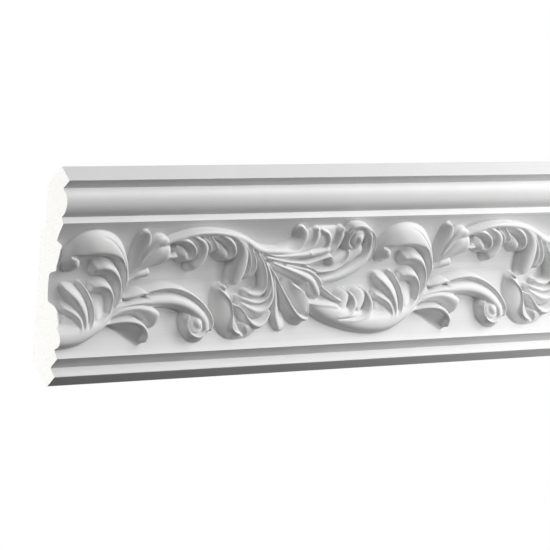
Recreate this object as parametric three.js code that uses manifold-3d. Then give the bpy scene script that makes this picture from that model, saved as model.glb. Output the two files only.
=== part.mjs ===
// Polyurethane cornice: a cove moulding with a continuous acanthus scroll, cast in one piece.
//
// Frame, in millimetres: X along the moulding, the wall on the plane Y = 0 with the room on the -Y side,
// and +Z up to the ceiling. The origin is the middle of the face that is glued to the wall.
import * as THREE from "three";
import { mergeVertices } from "three/addons/utils/BufferGeometryUtils.js";
import Module from "manifold-3d";

// Length: whole repeats of the carving, so that the scroll runs on when lengths are joined end to end.
const REPEAT_LENGTH = 333.3;
const REPEATS = 2;
const LENGTH = REPEAT_LENGTH * REPEATS;

// Overall size of the section
const PROJECTION = 120;
const DROP = 113.6;

// Members of the section, from the ceiling down
const TOP_FILLET_HEIGHT = 13.7;
const TOP_SOFFIT_DEPTH = 9;
const OVOLO_RUN = 15.7;
const OVOLO_DROP = 14.9;
const OVOLO_RADIUS = 14;
const COVE_FILLET_RUN = 1.5;
const COVE_FILLET_DROP = 4.8;
const COVE_RADIUS = 98.9;
const LOWER_SOFFIT_DEPTH = 10.3;
const LOWER_SOFFIT_FALL = 0.5;
const LOWER_FILLET_HEIGHT = 8.1;
const LOWER_FILLET_BATTER = 0.6;
const BOTTOM_SOFFIT_DEPTH = 11;
const EDGE_CHAMFER = 0.9;

// Back of the section: two slopes behind the face line, with a step between them. They meet the wall and the
// ceiling in the two flat faces that take the adhesive.
const LOWER_BACK_DEPTH = 18.1;
const UPPER_BACK_DEPTH = 13.9;
const BACK_STEP_FROM_CEILING_EDGE = 46.4;

// The carving is drawn on a repeat of this length and a face of this width, at the real size.
const DRAWN_REPEAT = 333.3;
const DRAWN_FACE = 165;
const LEAF_ROOT_DEPTH = 5;
const NARROW_LEAF = 3.2;
const TRIM_MARGIN = 40;
const REPEATS_BEFORE = 2;

// A tip ends in one more station: this far past the last, in half widths, and this share of its size
const TIP_REACH = 0.75;
const TIP_WIDTH = 0.55;
const TIP_HEIGHT = 0.7;

// Shapes of a leaf's side: the share of the crest's height at the shoulder and at the edge, which is buried
const SHOULDER = 0.78;
const ROUND = 0.72;
const SLOPE = 0.28;
const LEAF_EDGE = -0.1;
const BOSS_PROFILE = [[1, LEAF_EDGE], [0.85, 0.7], [0.5, 0.94], [0, 1]];

// Facets of the round stretches
const OVOLO_STEPS = 4;
const COVE_STEPS = 8;
const BOSS_SIDES = 12;

// Section in the plane of the moulding: x is the distance out from the wall, y is up, zero at the ceiling.
const CEILING_EDGE = new THREE.Vector2(PROJECTION, 0);
const TOP_FILLET_FOOT = new THREE.Vector2(PROJECTION, -TOP_FILLET_HEIGHT);
const OVOLO_TOP = new THREE.Vector2(PROJECTION - TOP_SOFFIT_DEPTH, -TOP_FILLET_HEIGHT);
const OVOLO_FOOT = new THREE.Vector2(OVOLO_TOP.x - OVOLO_RUN, OVOLO_TOP.y - OVOLO_DROP);
const COVE_TOP = new THREE.Vector2(OVOLO_FOOT.x - COVE_FILLET_RUN, OVOLO_FOOT.y - COVE_FILLET_DROP);
const BOTTOM_FRONT = new THREE.Vector2(BOTTOM_SOFFIT_DEPTH + EDGE_CHAMFER / 2, -DROP);
const LOWER_SOFFIT_BACK = new THREE.Vector2(
  BOTTOM_FRONT.x + LOWER_FILLET_BATTER,
  BOTTOM_FRONT.y + LOWER_FILLET_HEIGHT,
);
const COVE_FOOT = new THREE.Vector2(
  LOWER_SOFFIT_BACK.x + LOWER_SOFFIT_DEPTH,
  LOWER_SOFFIT_BACK.y + LOWER_SOFFIT_FALL,
);
const BOTTOM_BACK = new THREE.Vector2(EDGE_CHAMFER / 2, -DROP);

// The face line runs from the bottom back edge to the ceiling edge, with "up" along it and "out" from it.
const FACE_UP = CEILING_EDGE.clone().sub(BOTTOM_BACK).normalize();
const FACE_OUT = new THREE.Vector2(FACE_UP.y, -FACE_UP.x);
const FACE_WIDTH = CEILING_EDGE.distanceTo(BOTTOM_BACK);

const WALL_FACE_FOOT = new THREE.Vector2(0, -DROP + EDGE_CHAMFER);
const WALL_FACE_TOP = offFaceLine(
  (LOWER_BACK_DEPTH * FACE_OUT.x - BOTTOM_BACK.x) / FACE_UP.x,
  -LOWER_BACK_DEPTH,
);
const STEP_FRONT = offFaceLine(FACE_WIDTH - BACK_STEP_FROM_CEILING_EDGE, -UPPER_BACK_DEPTH);
const STEP_BACK = new THREE.Vector2(
  STEP_FRONT.x - (LOWER_BACK_DEPTH - UPPER_BACK_DEPTH) / FACE_OUT.x,
  STEP_FRONT.y,
);
const CEILING_FACE_BACK = offFaceLine((DROP + UPPER_BACK_DEPTH * FACE_OUT.y) / FACE_UP.y, -UPPER_BACK_DEPTH);
const ORIGIN_BELOW_CEILING = (WALL_FACE_FOOT.y + WALL_FACE_TOP.y) / 2;
const COVE_CENTRE = arcCentre(COVE_TOP, COVE_FOOT, COVE_RADIUS, FACE_OUT);
const OVOLO_CENTRE = arcCentre(OVOLO_TOP, OVOLO_FOOT, OVOLO_RADIUS, FACE_OUT.clone().negate());

// Point of the section from its place up the face line and out from it
function offFaceLine(up, out) {
  return BOTTOM_BACK.clone().addScaledVector(FACE_UP, up).addScaledVector(FACE_OUT, out);
}

// Centre of the arc of a given radius through two points, on the side that the vector points to
function arcCentre(from, to, radius, toward) {
  const middle = from.clone().add(to).multiplyScalar(0.5);
  const halfChord = from.distanceTo(to) / 2;
  const away = to.clone().sub(from).normalize();
  const normal = new THREE.Vector2(away.y, -away.x);
  if (normal.dot(toward) < 0) normal.negate();
  return middle.addScaledVector(normal, Math.sqrt(radius ** 2 - halfChord ** 2));
}

function addArc(path, centre, radius, from, to, clockwise) {
  const start = Math.atan2(from.y - centre.y, from.x - centre.x);
  const end = Math.atan2(to.y - centre.y, to.x - centre.x);
  path.absarc(centre.x, centre.y, radius, start, end, clockwise);
}

function arcPoints(centre, radius, from, to, clockwise, steps) {
  const path = new THREE.Path();
  addArc(path, centre, radius, from, to, clockwise);
  return path.getSpacedPoints(steps);
}

// Outline of the section, from the ceiling edge down the front and back up behind
function sectionOutline() {
  return [
    CEILING_EDGE,
    TOP_FILLET_FOOT,
    ...arcPoints(OVOLO_CENTRE, OVOLO_RADIUS, OVOLO_TOP, OVOLO_FOOT, true, OVOLO_STEPS),
    ...arcPoints(COVE_CENTRE, COVE_RADIUS, COVE_TOP, COVE_FOOT, false, COVE_STEPS),
    LOWER_SOFFIT_BACK,
    BOTTOM_FRONT,
    BOTTOM_BACK,
    WALL_FACE_FOOT,
    WALL_FACE_TOP,
    STEP_BACK,
    STEP_FRONT,
    CEILING_FACE_BACK,
  ];
}

// How far the cove stands out from the face line at a height up the face
function coveOut(up) {
  const fromFoot = COVE_CENTRE.clone().sub(BOTTOM_BACK);
  const across = up - fromFoot.dot(FACE_UP);
  return fromFoot.dot(FACE_OUT) - Math.sqrt(COVE_RADIUS ** 2 - across ** 2);
}

// Point of the part from its place along the moulding, up the face and out from the cove's surface
function onFace(along, up, height) {
  const { x, y } = offFaceLine(up, coveOut(up) + height);
  return new THREE.Vector3(along - LENGTH / 2, -x, y - ORIGIN_BELOW_CEILING);
}

// The carving of one repeat, leaf by leaf. A midrib runs from root to tip in stations of
// [along, up the face, half width, height over the cove]. The crest stands off the midrib by "lean", a share
// of the half width to the left on the way from root to tip. Each side is round, or a slope to a low edge.
const LEAVES = [
  // Stem along the bottom and the hood that rises from it
  leaf([[267, 52, 3, 7], [283, 48, 6.3, 9], [305, 43, 8.2, 10], [334, 38.2, 9.2, 10], [358, 40, 8.3, 9.5],
    [376, 44.5, 6, 7.5], [402, 61, 3, 6.5]], { lean: 0.15 }),
  leaf([[50, 44, 1.5, 5], [64, 60, 3.2, 7], [69, 76, 4.8, 8.2], [60, 98.5, 7, 9.8], [44, 107.3, 9.4, 11],
    [30, 107.5, 9, 11], [18, 102.5, 6.6, 10], [13.5, 91.5, 3.7, 8.2]], { lean: 0.55, right: SLOPE }),
  boss([16.5, 90.5, 5.2, 9.5]),

  // Fingers and cups inside the hood
  leaf([[57, 52, 1.5, 6], [65, 65, 2.3, 7.3], [63, 80, 3.4, 8.8], [55, 87, 5, 10], [42.5, 88.5, 5.7, 9.7]],
    { lean: 0.1 }),
  leaf([[51, 46, 1.3, 5], [60.5, 61, 2, 7.5], [56.5, 72.5, 2.9, 8.5], [44, 77.5, 3.3, 8]], { lean: 0.1 }),
  leaf([[36, 43, 4, 6.5], [44, 53, 6, 6], [48, 62, 6.5, 4]]),
  leaf([[30, 38.5, 1.5, 6], [38.5, 51, 2.2, 8.5], [35.5, 65.5, 2.4, 9.5], [26.5, 75, 1.8, 9]]),
  leaf([[22, 36, 2, 8], [31.5, 43.5, 3.2, 9.7], [31.5, 54, 4.7, 10.7], [25, 63.5, 5.8, 11],
    [14, 71, 5.3, 10.6], [4, 76, 2, 8]], { lean: 0.1, left: SLOPE }),
  leaf([[14, 37, 2, 9.5], [24, 40, 2.7, 10], [25.5, 49, 3, 10], [18.5, 55.5, 3.2, 9.5], [10, 57.5, 3.1, 8]]),

  // Leaves that spring from the stem to the right
  leaf([[54, 44, 2, 6], [64, 44, 4.5, 9], [74, 41.5, 8, 11], [82, 38, 9.5, 11.5], [88, 36, 8, 10]],
    { lean: 0.6, right: SLOPE }),
  leaf([[58, 50, 2, 7], [70, 53.5, 3.5, 8.5], [82, 54.5, 4.5, 9], [93, 52.5, 5.2, 9.5], [101, 48, 5, 8.5]],
    { lean: 0.15 }),
  leaf([[70, 64.5, 2.5, 8.5], [78, 66, 4.5, 9], [92, 67, 4.5, 9]]),
  leaf([[64, 57, 2, 7], [76, 60, 3, 8], [90, 62, 3, 8.5], [101, 60, 3, 8]]),

  // Fan of leaves over them, with a pearl beside it
  leaf([[76, 82, 2.5, 5], [79, 95, 5, 6.5], [84, 106, 7, 7.5], [87, 110, 6.5, 7]]),
  leaf([[84, 92, 2, 6], [92, 103, 4, 7.3], [100, 109, 5, 7.5]]),
  leaf([[82, 90, 3, 6], [92, 95, 5.5, 8.5], [104, 98.3, 8, 10]]),
  leaf([[79, 79, 1.5, 6], [87, 82, 3.2, 8], [92.5, 82.5, 3.6, 8]]),
  boss([119, 94.7, 4, 7.5]),

  // Arch and the comb of curled lobes that hangs from it
  leaf([[108, 111.5, 1.5, 6], [122, 114, 2.4, 8], [142, 115.3, 3, 9], [163, 113.3, 3.2, 9],
    [182, 109.3, 3.5, 9], [203, 101, 4.5, 9], [218, 97.4, 4, 9.3], [243, 98.5, 3, 8]], { lean: -0.3 }),
  leaf([[119, 113, 1.8, 8.5], [128.5, 110, 2.8, 9.4], [134.5, 101.5, 3.3, 9.8], [127, 93.8, 2, 8]],
    { lean: -0.35 }),
  leaf([[128, 114.5, 1.5, 8.5], [139, 110.3, 3, 9.4], [146, 101, 4, 9.8], [142.5, 93, 4.1, 8.8],
    [133, 87, 3, 7]], { lean: -0.35, right: SLOPE }),
  leaf([[141, 112.5, 1.2, 8.5], [147, 107.5, 1.8, 9], [151, 100.5, 1.8, 8.7]]),
  leaf([[158, 112, 1.8, 8.5], [169, 109, 2.9, 9.4], [176.5, 100.5, 3.8, 10], [170, 91.5, 2, 8.5]],
    { lean: -0.3, right: SLOPE }),
  leaf([[170, 111.5, 1.8, 8.5], [181, 106, 3.3, 9.4], [188.5, 94, 5.6, 10], [188, 83, 6.7, 9.4],
    [181, 74, 3, 7.5]], { lean: -0.1, right: SLOPE }),
  leaf([[188, 104, 1.2, 8.5], [194, 97, 1.8, 9], [197.5, 88, 2, 9], [197.5, 80, 1.8, 8]]),
  leaf([[197, 99.5, 1.5, 8.5], [203.5, 88, 2.3, 9], [197, 77, 1.6, 7]]),

  // Strands that fall from the arch and turn to the left
  leaf([[204, 98, 2, 9], [213, 88, 2.7, 9.7], [218, 74, 2.8, 10], [215.5, 65, 2.9, 9.5],
    [205, 61.8, 3.4, 8.5], [192, 65, 2.6, 7.5]]),
  leaf([[210, 94.5, 1.8, 9.5], [219, 80, 2.5, 10.2], [222.5, 67, 2.5, 10.5], [218, 58, 2.5, 10],
    [206, 55.4, 2.2, 9.2], [193, 58.5, 2, 8.5]]),
  leaf([[215, 91, 1.8, 9.5], [224, 77, 2.8, 10.8], [227, 63, 3.2, 11], [222, 52.8, 3.7, 10.5],
    [210, 48.6, 4.8, 9.8], [197, 52.5, 4.6, 8.7], [186, 58, 3, 7.5]], { lean: 0.3, left: SLOPE }),

  // Small leaves and the spoon under the strands
  leaf([[220, 87, 1.6, 9.5], [228, 73, 2.6, 10.6], [231, 56, 4.2, 11], [234, 43, 4.7, 9.3]]),
  leaf([[227, 52, 1.2, 8], [224.5, 45, 2.7, 8.5], [230, 37, 3.5, 7.5]]),
  leaf([[226, 79, 1.5, 9.5], [239, 61.5, 2.2, 10.8], [249, 48.5, 2.6, 11], [261, 43.5, 1.8, 9.5]]),
  leaf([[240, 70, 2, 8], [247, 62, 6, 7.5], [254.5, 52.5, 7.3, 7.5]]),
  leaf([[244, 44, 4.2, 6], [257, 41, 3, 5.5]]),

  // Long leaves that run to the right over the spoon
  leaf([[224, 87.5, 2, 9.5], [240, 81, 3.2, 10.6], [256, 76, 4.1, 11], [268, 70, 5, 10.5],
    [278, 61.5, 2.2, 8.7]], { lean: -0.1 }),
  leaf([[218, 91.5, 1, 9.5], [240, 87.6, 1.5, 10.2], [262, 85.8, 1.8, 10.5], [289, 89.6, 2, 9]]),
  leaf([[258, 85.5, 1.2, 10], [275, 79.8, 1.6, 9.7], [293, 80.2, 2.6, 9], [308, 85.3, 2.6, 8.2],
    [316, 92, 2, 7.5]]),
  leaf([[212, 95.5, 1, 9.5], [242, 92, 1.5, 9.5], [265, 93.4, 2.8, 8.7], [282, 95.5, 3, 8.5]]),

  // Crown of round lobes
  leaf([[240, 98, 2.5, 8.5], [248, 99.7, 4, 9], [250.5, 105, 4.8, 9.3], [249.5, 111, 4.5, 8.8]],
    { lean: 0.2 }),
  leaf([[262, 97, 4.5, 8.5], [265, 105, 6.3, 9], [265.5, 111.5, 5.8, 8.5]]),
  leaf([[268, 98, 1.5, 8], [277.5, 101, 3.1, 9.1], [278.5, 108.5, 3.1, 9.1], [269.5, 114.3, 1.8, 8.5]],
    { lean: 0.3 }),
  leaf([[283, 96, 4, 8.5], [289.5, 101, 7, 9], [291, 108, 7.8, 9]]),

  // Upper volute and its scroll
  boss([312.5, 105.5, 11.5, 8.5]),
  boss([311, 104.7, 6, 11]),
  leaf([[316, 113, 2.5, 8], [325, 109.5, 4, 8], [331.5, 98, 6.4, 7.6], [328, 86, 6.3, 7.8],
    [314, 77, 5.5, 8.4], [284, 71.3, 4.2, 9]], { lean: -0.2 }),

  // Lobes on the stem
  leaf([[278, 68, 1.5, 9.5], [289, 60.8, 1.8, 8.8], [301, 55.5, 1.8, 8]]),
  leaf([[267, 54, 1.5, 8.5], [277, 52, 3, 9.5], [287, 51, 3.8, 10], [297, 50.3, 3.8, 10]]),
  leaf([[298, 44.5, 1.5, 10.5], [308, 46, 2.5, 10.5], [314.5, 49.5, 4, 10.3], [315.5, 57, 4.6, 9.4]],
    { lean: 0.2 }),
  leaf([[312, 39.5, 1.5, 10.5], [325, 42, 2.8, 11], [333.5, 49.5, 4.7, 10.8], [332, 58, 4.5, 9]],
    { lean: 0.2 }),

  // Tendril and the lower volute at its end
  leaf([[92, 65, 3.5, 8.5], [106, 64.8, 6.5, 9], [128, 63, 7.6, 9.9], [142, 57.3, 7.6, 10.5],
    [151, 47, 6.9, 11], [149, 40, 5, 10]]),
  boss([142, 42.5, 13, 9]),
  boss([141, 43.8, 6.6, 12.3]),

  // Berry and its calyx
  leaf([[172, 66, 5, 8.5], [175, 58, 8.5, 10], [177, 49, 10.3, 10.5], [181, 41, 9.8, 10], [187, 37, 7.5, 8.5],
    [196, 36, 6, 7.5]]),
  boss([173, 66.5, 3.8, 10.8]),
  leaf([[182, 54.5, 1.2, 10.5], [190.5, 52.3, 1.6, 10], [196, 45, 1.7, 10], [204, 38.7, 3, 10],
    [212, 40.8, 2.8, 10], [222, 49.5, 1.2, 9.5]]),
];

function leaf(midrib, { lean = 0, left = ROUND, right = ROUND } = {}) {
  return { midrib, lean, left, right };
}

function boss(station) {
  return { midrib: [station], lean: 0, left: ROUND, right: ROUND };
}

// Station in the sizes of this part, any number of repeats further along
function placed([along, up, halfWidth, height], repeat) {
  const stretch = REPEAT_LENGTH / DRAWN_REPEAT;
  const spread = FACE_WIDTH / DRAWN_FACE;
  return {
    along: along * stretch + repeat * REPEAT_LENGTH,
    up: up * spread,
    halfWidth: halfWidth * spread,
    height: height * spread,
  };
}

// Rounds off the tip of a leaf with one narrower and lower station past its last
function withTip(stations) {
  const [before, last] = stations.slice(-2);
  const away = new THREE.Vector2(last.along - before.along, last.up - before.up);
  away.setLength(last.halfWidth * TIP_REACH);
  const tip = {
    along: last.along + away.x,
    up: last.up + away.y,
    halfWidth: last.halfWidth * TIP_WIDTH,
    height: last.height * TIP_HEIGHT,
  };
  return [...stations, tip];
}

// Unit vector along the midrib at a station
function heading(stations, index) {
  const before = stations[Math.max(index - 1, 0)];
  const after = stations[Math.min(index + 1, stations.length - 1)];
  return new THREE.Vector2(after.along - before.along, after.up - before.up).normalize();
}

// Cross-section of a leaf from its left edge over the crest to its right edge, in points of
// [place across, share of height]. A narrow leaf is a plain ridge.
function crossSection({ lean, left, right }, narrow) {
  if (narrow) return [[1, LEAF_EDGE], [lean, 1], [-1, LEAF_EDGE]];
  const towards = (edge) => lean + (edge - lean) * SHOULDER;
  return [[1, LEAF_EDGE], [towards(1), left], [lean, 1], [towards(-1), right], [-1, LEAF_EDGE]];
}

// Closed ring of points around one station, buried in the moulding below
function leafRing(station, direction, section) {
  const at = (across, height) => {
    const along = station.along - direction.y * across * station.halfWidth;
    const up = station.up + direction.x * across * station.halfWidth;
    return onFace(along, up, height);
  };
  const over = section.map(([across, share]) => at(across, share * station.height));
  return [...over, at(-1, -LEAF_ROOT_DEPTH), at(1, -LEAF_ROOT_DEPTH)];
}

function leafGeometry(shape, repeat) {
  const stations = withTip(shape.midrib.map((station) => placed(station, repeat)));
  const narrow = Math.max(...stations.map((station) => station.halfWidth)) < NARROW_LEAF;
  const section = crossSection(shape, narrow);
  const rings = stations.map((station, i) => leafRing(station, heading(stations, i), section));
  const size = rings[0].length;
  const faces = [];
  for (let i = 0; i + 1 < rings.length; i += 1) {
    for (let j = 0; j < size; j += 1) {
      const [a, b] = [i * size + j, i * size + ((j + 1) % size)];
      faces.push(a, b, b + size, a, b + size, a + size);
    }
  }
  const last = (rings.length - 1) * size;
  for (let j = 0; j + 2 < size; j += 1) {
    faces.push(size - 1, j + 1, j);
    faces.push(last + size - 1, last + j, last + j + 1);
  }
  const geometry = new THREE.BufferGeometry().setFromPoints(rings.flat());
  geometry.setIndex(faces);
  return geometry;
}

// Round boss: a turned dome laid on the cove
function bossGeometry(shape, repeat) {
  const { along, up, halfWidth, height } = placed(shape.midrib[0], repeat);
  const dome = BOSS_PROFILE.map(([radius, share]) => new THREE.Vector2(radius * halfWidth, share * height));
  const foot = -LEAF_ROOT_DEPTH;
  const profile = [new THREE.Vector2(0, foot), new THREE.Vector2(halfWidth, foot), ...dome];
  const turned = mergedCopy(new THREE.LatheGeometry(profile, BOSS_SIDES));
  const points = turned.getAttribute("position");
  for (let i = 0; i < points.count; i += 1) {
    const point = onFace(along + points.getX(i), up - points.getZ(i), points.getY(i));
    points.setXYZ(i, point.x, point.y, point.z);
  }
  return turned;
}

function mergedCopy(geometry) {
  const bare = geometry.clone();
  bare.deleteAttribute("normal");
  bare.deleteAttribute("uv");
  return mergeVertices(bare);
}

// Plain moulding, longer than the part at both ends until it is trimmed
function mouldingGeometry() {
  const length = LENGTH + 2 * TRIM_MARGIN;
  const section = new THREE.Shape(sectionOutline());
  const geometry = new THREE.ExtrudeGeometry(section, { depth: length, bevelEnabled: false });
  const outward = new THREE.Vector3(0, -1, 0);
  const upward = new THREE.Vector3(0, 0, 1);
  const backward = new THREE.Vector3(-1, 0, 0);
  geometry.applyMatrix4(new THREE.Matrix4().makeBasis(outward, upward, backward));
  return geometry.translate(length / 2, 0, -ORIGIN_BELOW_CEILING);
}

const wasm = await Module();
wasm.setup();

function toSolid(geometry) {
  const merged = mergedCopy(geometry);
  const mesh = new wasm.Mesh({
    numProp: 3,
    vertProperties: new Float32Array(merged.getAttribute("position").array),
    triVerts: new Uint32Array(merged.getIndex().array),
  });
  return new wasm.Manifold(mesh);
}

function toGeometry(solid) {
  const mesh = solid.getMesh();
  const geometry = new THREE.BufferGeometry();
  geometry.setAttribute("position", new THREE.BufferAttribute(new Float32Array(mesh.vertProperties), 3));
  geometry.setIndex(new THREE.BufferAttribute(new Uint32Array(mesh.triVerts), 1));
  return geometry;
}

// True where a leaf of a given repeat reaches into the part's length
function reachesPart(shape, repeat) {
  const stations = shape.midrib.map((station) => placed(station, repeat));
  const start = Math.min(...stations.map(({ along, halfWidth }) => along - 2 * halfWidth));
  const end = Math.max(...stations.map(({ along, halfWidth }) => along + 2 * halfWidth));
  return end > 0 && start < LENGTH;
}

function carvedMoulding() {
  let carved = toSolid(mouldingGeometry());
  for (let repeat = -REPEATS_BEFORE; repeat <= REPEATS; repeat += 1) {
    for (const shape of LEAVES.filter((candidate) => reachesPart(candidate, repeat))) {
      const make = shape.midrib.length > 1 ? leafGeometry : bossGeometry;
      carved = carved.add(toSolid(make(shape, repeat)));
    }
  }
  const around = 4 * FACE_WIDTH;
  const trim = new THREE.BoxGeometry(LENGTH, around, around);
  return toGeometry(carved.intersect(toSolid(trim)));
}

const cornice = new THREE.Mesh(
  carvedMoulding(),
  new THREE.MeshStandardMaterial({ color: 0xf2f1ee, roughness: 0.62, metalness: 0 }),
);
cornice.name = "cornice";

const part = new THREE.Group();
part.add(cornice);

export default part;
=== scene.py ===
"""Polyurethane cornice with a running acanthus scroll, dressed for rendering.

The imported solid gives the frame. Its one piece is replaced by a finer casting of the same form: the moulded
section with the carving worked out as a height field over the cove, closed with the plain members, the back
and the two sawn ends. Its sizes are in millimetres and are turned into metres where the mesh is made. Finishes,
lamps, floor and camera are in metres.
"""
import logging
import math
from dataclasses import dataclass, field
from enum import Enum

import bpy
import numpy as np
from mathutils import Matrix, Vector


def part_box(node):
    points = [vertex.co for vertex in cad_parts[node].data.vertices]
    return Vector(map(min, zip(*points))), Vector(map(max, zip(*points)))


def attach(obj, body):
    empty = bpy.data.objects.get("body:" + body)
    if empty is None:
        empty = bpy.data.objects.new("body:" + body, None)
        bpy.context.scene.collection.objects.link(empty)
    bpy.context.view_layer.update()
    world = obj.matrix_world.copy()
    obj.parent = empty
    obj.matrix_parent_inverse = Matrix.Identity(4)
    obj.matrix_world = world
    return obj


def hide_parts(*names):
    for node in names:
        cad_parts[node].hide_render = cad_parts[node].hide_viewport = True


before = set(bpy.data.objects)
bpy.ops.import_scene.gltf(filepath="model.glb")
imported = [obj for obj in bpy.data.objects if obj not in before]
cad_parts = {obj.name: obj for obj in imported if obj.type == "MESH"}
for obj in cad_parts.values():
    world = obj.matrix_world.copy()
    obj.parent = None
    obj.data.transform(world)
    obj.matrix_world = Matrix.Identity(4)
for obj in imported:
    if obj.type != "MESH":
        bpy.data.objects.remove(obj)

LOG = logging.getLogger("cornice")
MM = 0.001
NODE = "cornice"
BODY = "root"

Array = np.ndarray
Colour = tuple[float, float, float]
Spot = tuple[float, float, float]
Inputs = dict[str | int, object]
Station = tuple[float, float, float, float]


class Side(Enum):
    """How a leaf falls away from its crest on one side."""

    ROUND = "full and round, steep at the edge"
    SLOPE = "an even fall to a low edge"
    SCOOP = "hollow, low for most of its width"


class Finish(Enum):
    """Material slots of the casting, in order."""

    PRIMED_FACE = 0
    CAST_BACK = 1
    SAWN_END = 2


@dataclass
class Section:
    """Moulded section: x is the distance out from the wall, y is up, zero at the ceiling."""

    projection: float
    drop: float
    top_fillet_height: float = 13.7
    top_soffit_depth: float = 9.0
    ovolo_run: float = 15.7
    ovolo_drop: float = 14.9
    ovolo_radius: float = 14.0
    cove_fillet_run: float = 1.5
    cove_fillet_drop: float = 4.8
    cove_radius: float = 98.9
    lower_soffit_depth: float = 10.3
    lower_soffit_fall: float = 0.5
    lower_fillet_height: float = 8.1
    lower_fillet_batter: float = 0.6
    bottom_soffit_depth: float = 11.0
    edge_chamfer: float = 0.9
    lower_back_depth: float = 18.1
    upper_back_depth: float = 13.9
    back_step_from_ceiling_edge: float = 46.4
    arris_radius: float = 0.6
    arris_steps: int = 3
    ovolo_steps: int = 24

    def __post_init__(self) -> None:
        """Works out the corners, each a step from the last one, and the face line.

        The face line runs from the bottom back edge to the ceiling edge. One unit vector points up it and
        one out from it, towards the room. The part's origin is as high as the middle of the wall face.
        """
        steps_down = (
            (self.projection, 0), (0, -self.top_fillet_height), (-self.top_soffit_depth, 0),
            (-self.ovolo_run, -self.ovolo_drop), (-self.cove_fillet_run, -self.cove_fillet_drop),
        )
        steps_up = (
            (self.edge_chamfer / 2, -self.drop), (self.bottom_soffit_depth, 0),
            (self.lower_fillet_batter, self.lower_fillet_height),
            (self.lower_soffit_depth, self.lower_soffit_fall),
        )
        upper, lower = np.cumsum(steps_down, axis=0), np.cumsum(steps_up, axis=0)
        self.ceiling_edge, self.top_fillet_foot, self.ovolo_top, self.ovolo_foot, self.cove_top = upper
        self.bottom_back, self.bottom_front, self.lower_soffit_back, self.cove_foot = lower
        face = self.ceiling_edge - self.bottom_back
        self.face_width = float(np.linalg.norm(face))
        self.face_up = face / self.face_width
        self.face_out = np.array([self.face_up[1], -self.face_up[0]])
        self.wall_face_foot = np.array([0.0, self.edge_chamfer - self.drop])
        up = (self.lower_back_depth * self.face_out[0] - self.bottom_back[0]) / self.face_up[0]
        self.wall_face_top = self.off_face_line(up, -self.lower_back_depth)
        self.origin_height = float(self.wall_face_foot[1] + self.wall_face_top[1]) / 2

    @property
    def cove_span(self) -> tuple[float, float]:
        """Places up the face line of the cove's foot and top."""
        ends = np.array([self.cove_foot, self.cove_top]) - self.bottom_back
        return tuple(float(place) for place in ends @ self.face_up)

    def off_face_line(self, up: float, out: float) -> Array:
        """Point of the section from its place up the face line and out from it."""
        return self.bottom_back + up * self.face_up + out * self.face_out

    @staticmethod
    def arc_centre(start: Array, end: Array, radius: float, toward: Array) -> Array:
        """Centre of an arc through two points: the middle of the chord, moved off along the chord's normal.

        Args:
            start: First point of the arc.
            end: Last point of the arc.
            radius: Radius of the arc.
            toward: A vector to the side on which the centre lies.

        Returns:
            The centre.
        """
        chord = end - start
        normal = np.array([chord[1], -chord[0]]) / np.linalg.norm(chord)
        normal = normal * np.sign(normal @ toward)
        return (start + end) / 2 + normal * math.sqrt(radius**2 - chord @ chord / 4)

    def cove_surface(self, up: Array, height: Array) -> Array:
        """Points over the cove: the lower half of a circle over the face line, raised by a height.

        Args:
            up: Places up the face line.
            height: Heights over the cove at those places.

        Returns:
            Points of the section, one more axis than the places, x and y in the last.
        """
        centre = self.arc_centre(self.cove_top, self.cove_foot, self.cove_radius, self.face_out)
        from_foot = centre - self.bottom_back
        across = up - from_foot @ self.face_up
        out = from_foot @ self.face_out - np.sqrt(self.cove_radius**2 - across**2) + height
        return self.bottom_back + up[..., None] * self.face_up + out[..., None] * self.face_out

    def ovolo(self) -> Array:
        """The ovolo: an arc whose angle runs evenly from its top to its foot.

        Returns:
            Points of the arc, both ends included.
        """
        centre = self.arc_centre(self.ovolo_top, self.ovolo_foot, self.ovolo_radius, -self.face_out)
        first, last = self.ovolo_top - centre, self.ovolo_foot - centre
        ends = math.atan2(first[1], first[0]), math.atan2(last[1], last[0])
        angles = np.linspace(*ends, self.ovolo_steps + 1)
        return centre + self.ovolo_radius * np.stack([np.cos(angles), np.sin(angles)], axis=1)

    def arris(self, before: Array, corner: Array, after: Array) -> Array:
        """Eased corner: a quadratic curve from a radius before the corner to a radius after it.

        Args:
            before: Point that the line comes from.
            corner: The sharp corner.
            after: Point that the line goes to.

        Returns:
            Points of the curve, both ends included.
        """
        start = corner + (before - corner) / np.linalg.norm(before - corner) * self.arris_radius
        end = corner + (after - corner) / np.linalg.norm(after - corner) * self.arris_radius
        t = np.linspace(0, 1, self.arris_steps + 1)[:, None]
        return (1 - t) ** 2 * start + 2 * t * (1 - t) * corner + t**2 * end

    def members_above(self) -> list[Array]:
        """Smooth stretches from the ceiling face down to the cove.

        Returns:
            Points of each stretch, which starts where the last one ends.
        """
        ceiling_back = self.back()[-1]
        edge, foot, top = self.ceiling_edge, self.top_fillet_foot, self.ovolo_top
        upper, lower = self.arris(ceiling_back, edge, foot), self.arris(edge, foot, top)
        ovolo = self.ovolo()
        return [
            np.array([ceiling_back, upper[0]]), upper, np.array([upper[-1], lower[0]]), lower,
            np.array([lower[-1], top]), ovolo, np.array([ovolo[-1], self.cove_top]),
        ]

    def members_below(self) -> list[Array]:
        """Smooth stretches from the cove down to the wall face.

        Returns:
            Points of each stretch, which starts where the last one ends.
        """
        inner, front = self.lower_soffit_back, self.bottom_front
        back, foot = self.bottom_back, self.wall_face_foot
        eased = self.arris(inner, front, back)
        return [
            np.array([self.cove_foot, inner]), np.array([inner, eased[0]]), eased,
            np.array([eased[-1], back]), np.array([back, foot]),
        ]

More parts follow.
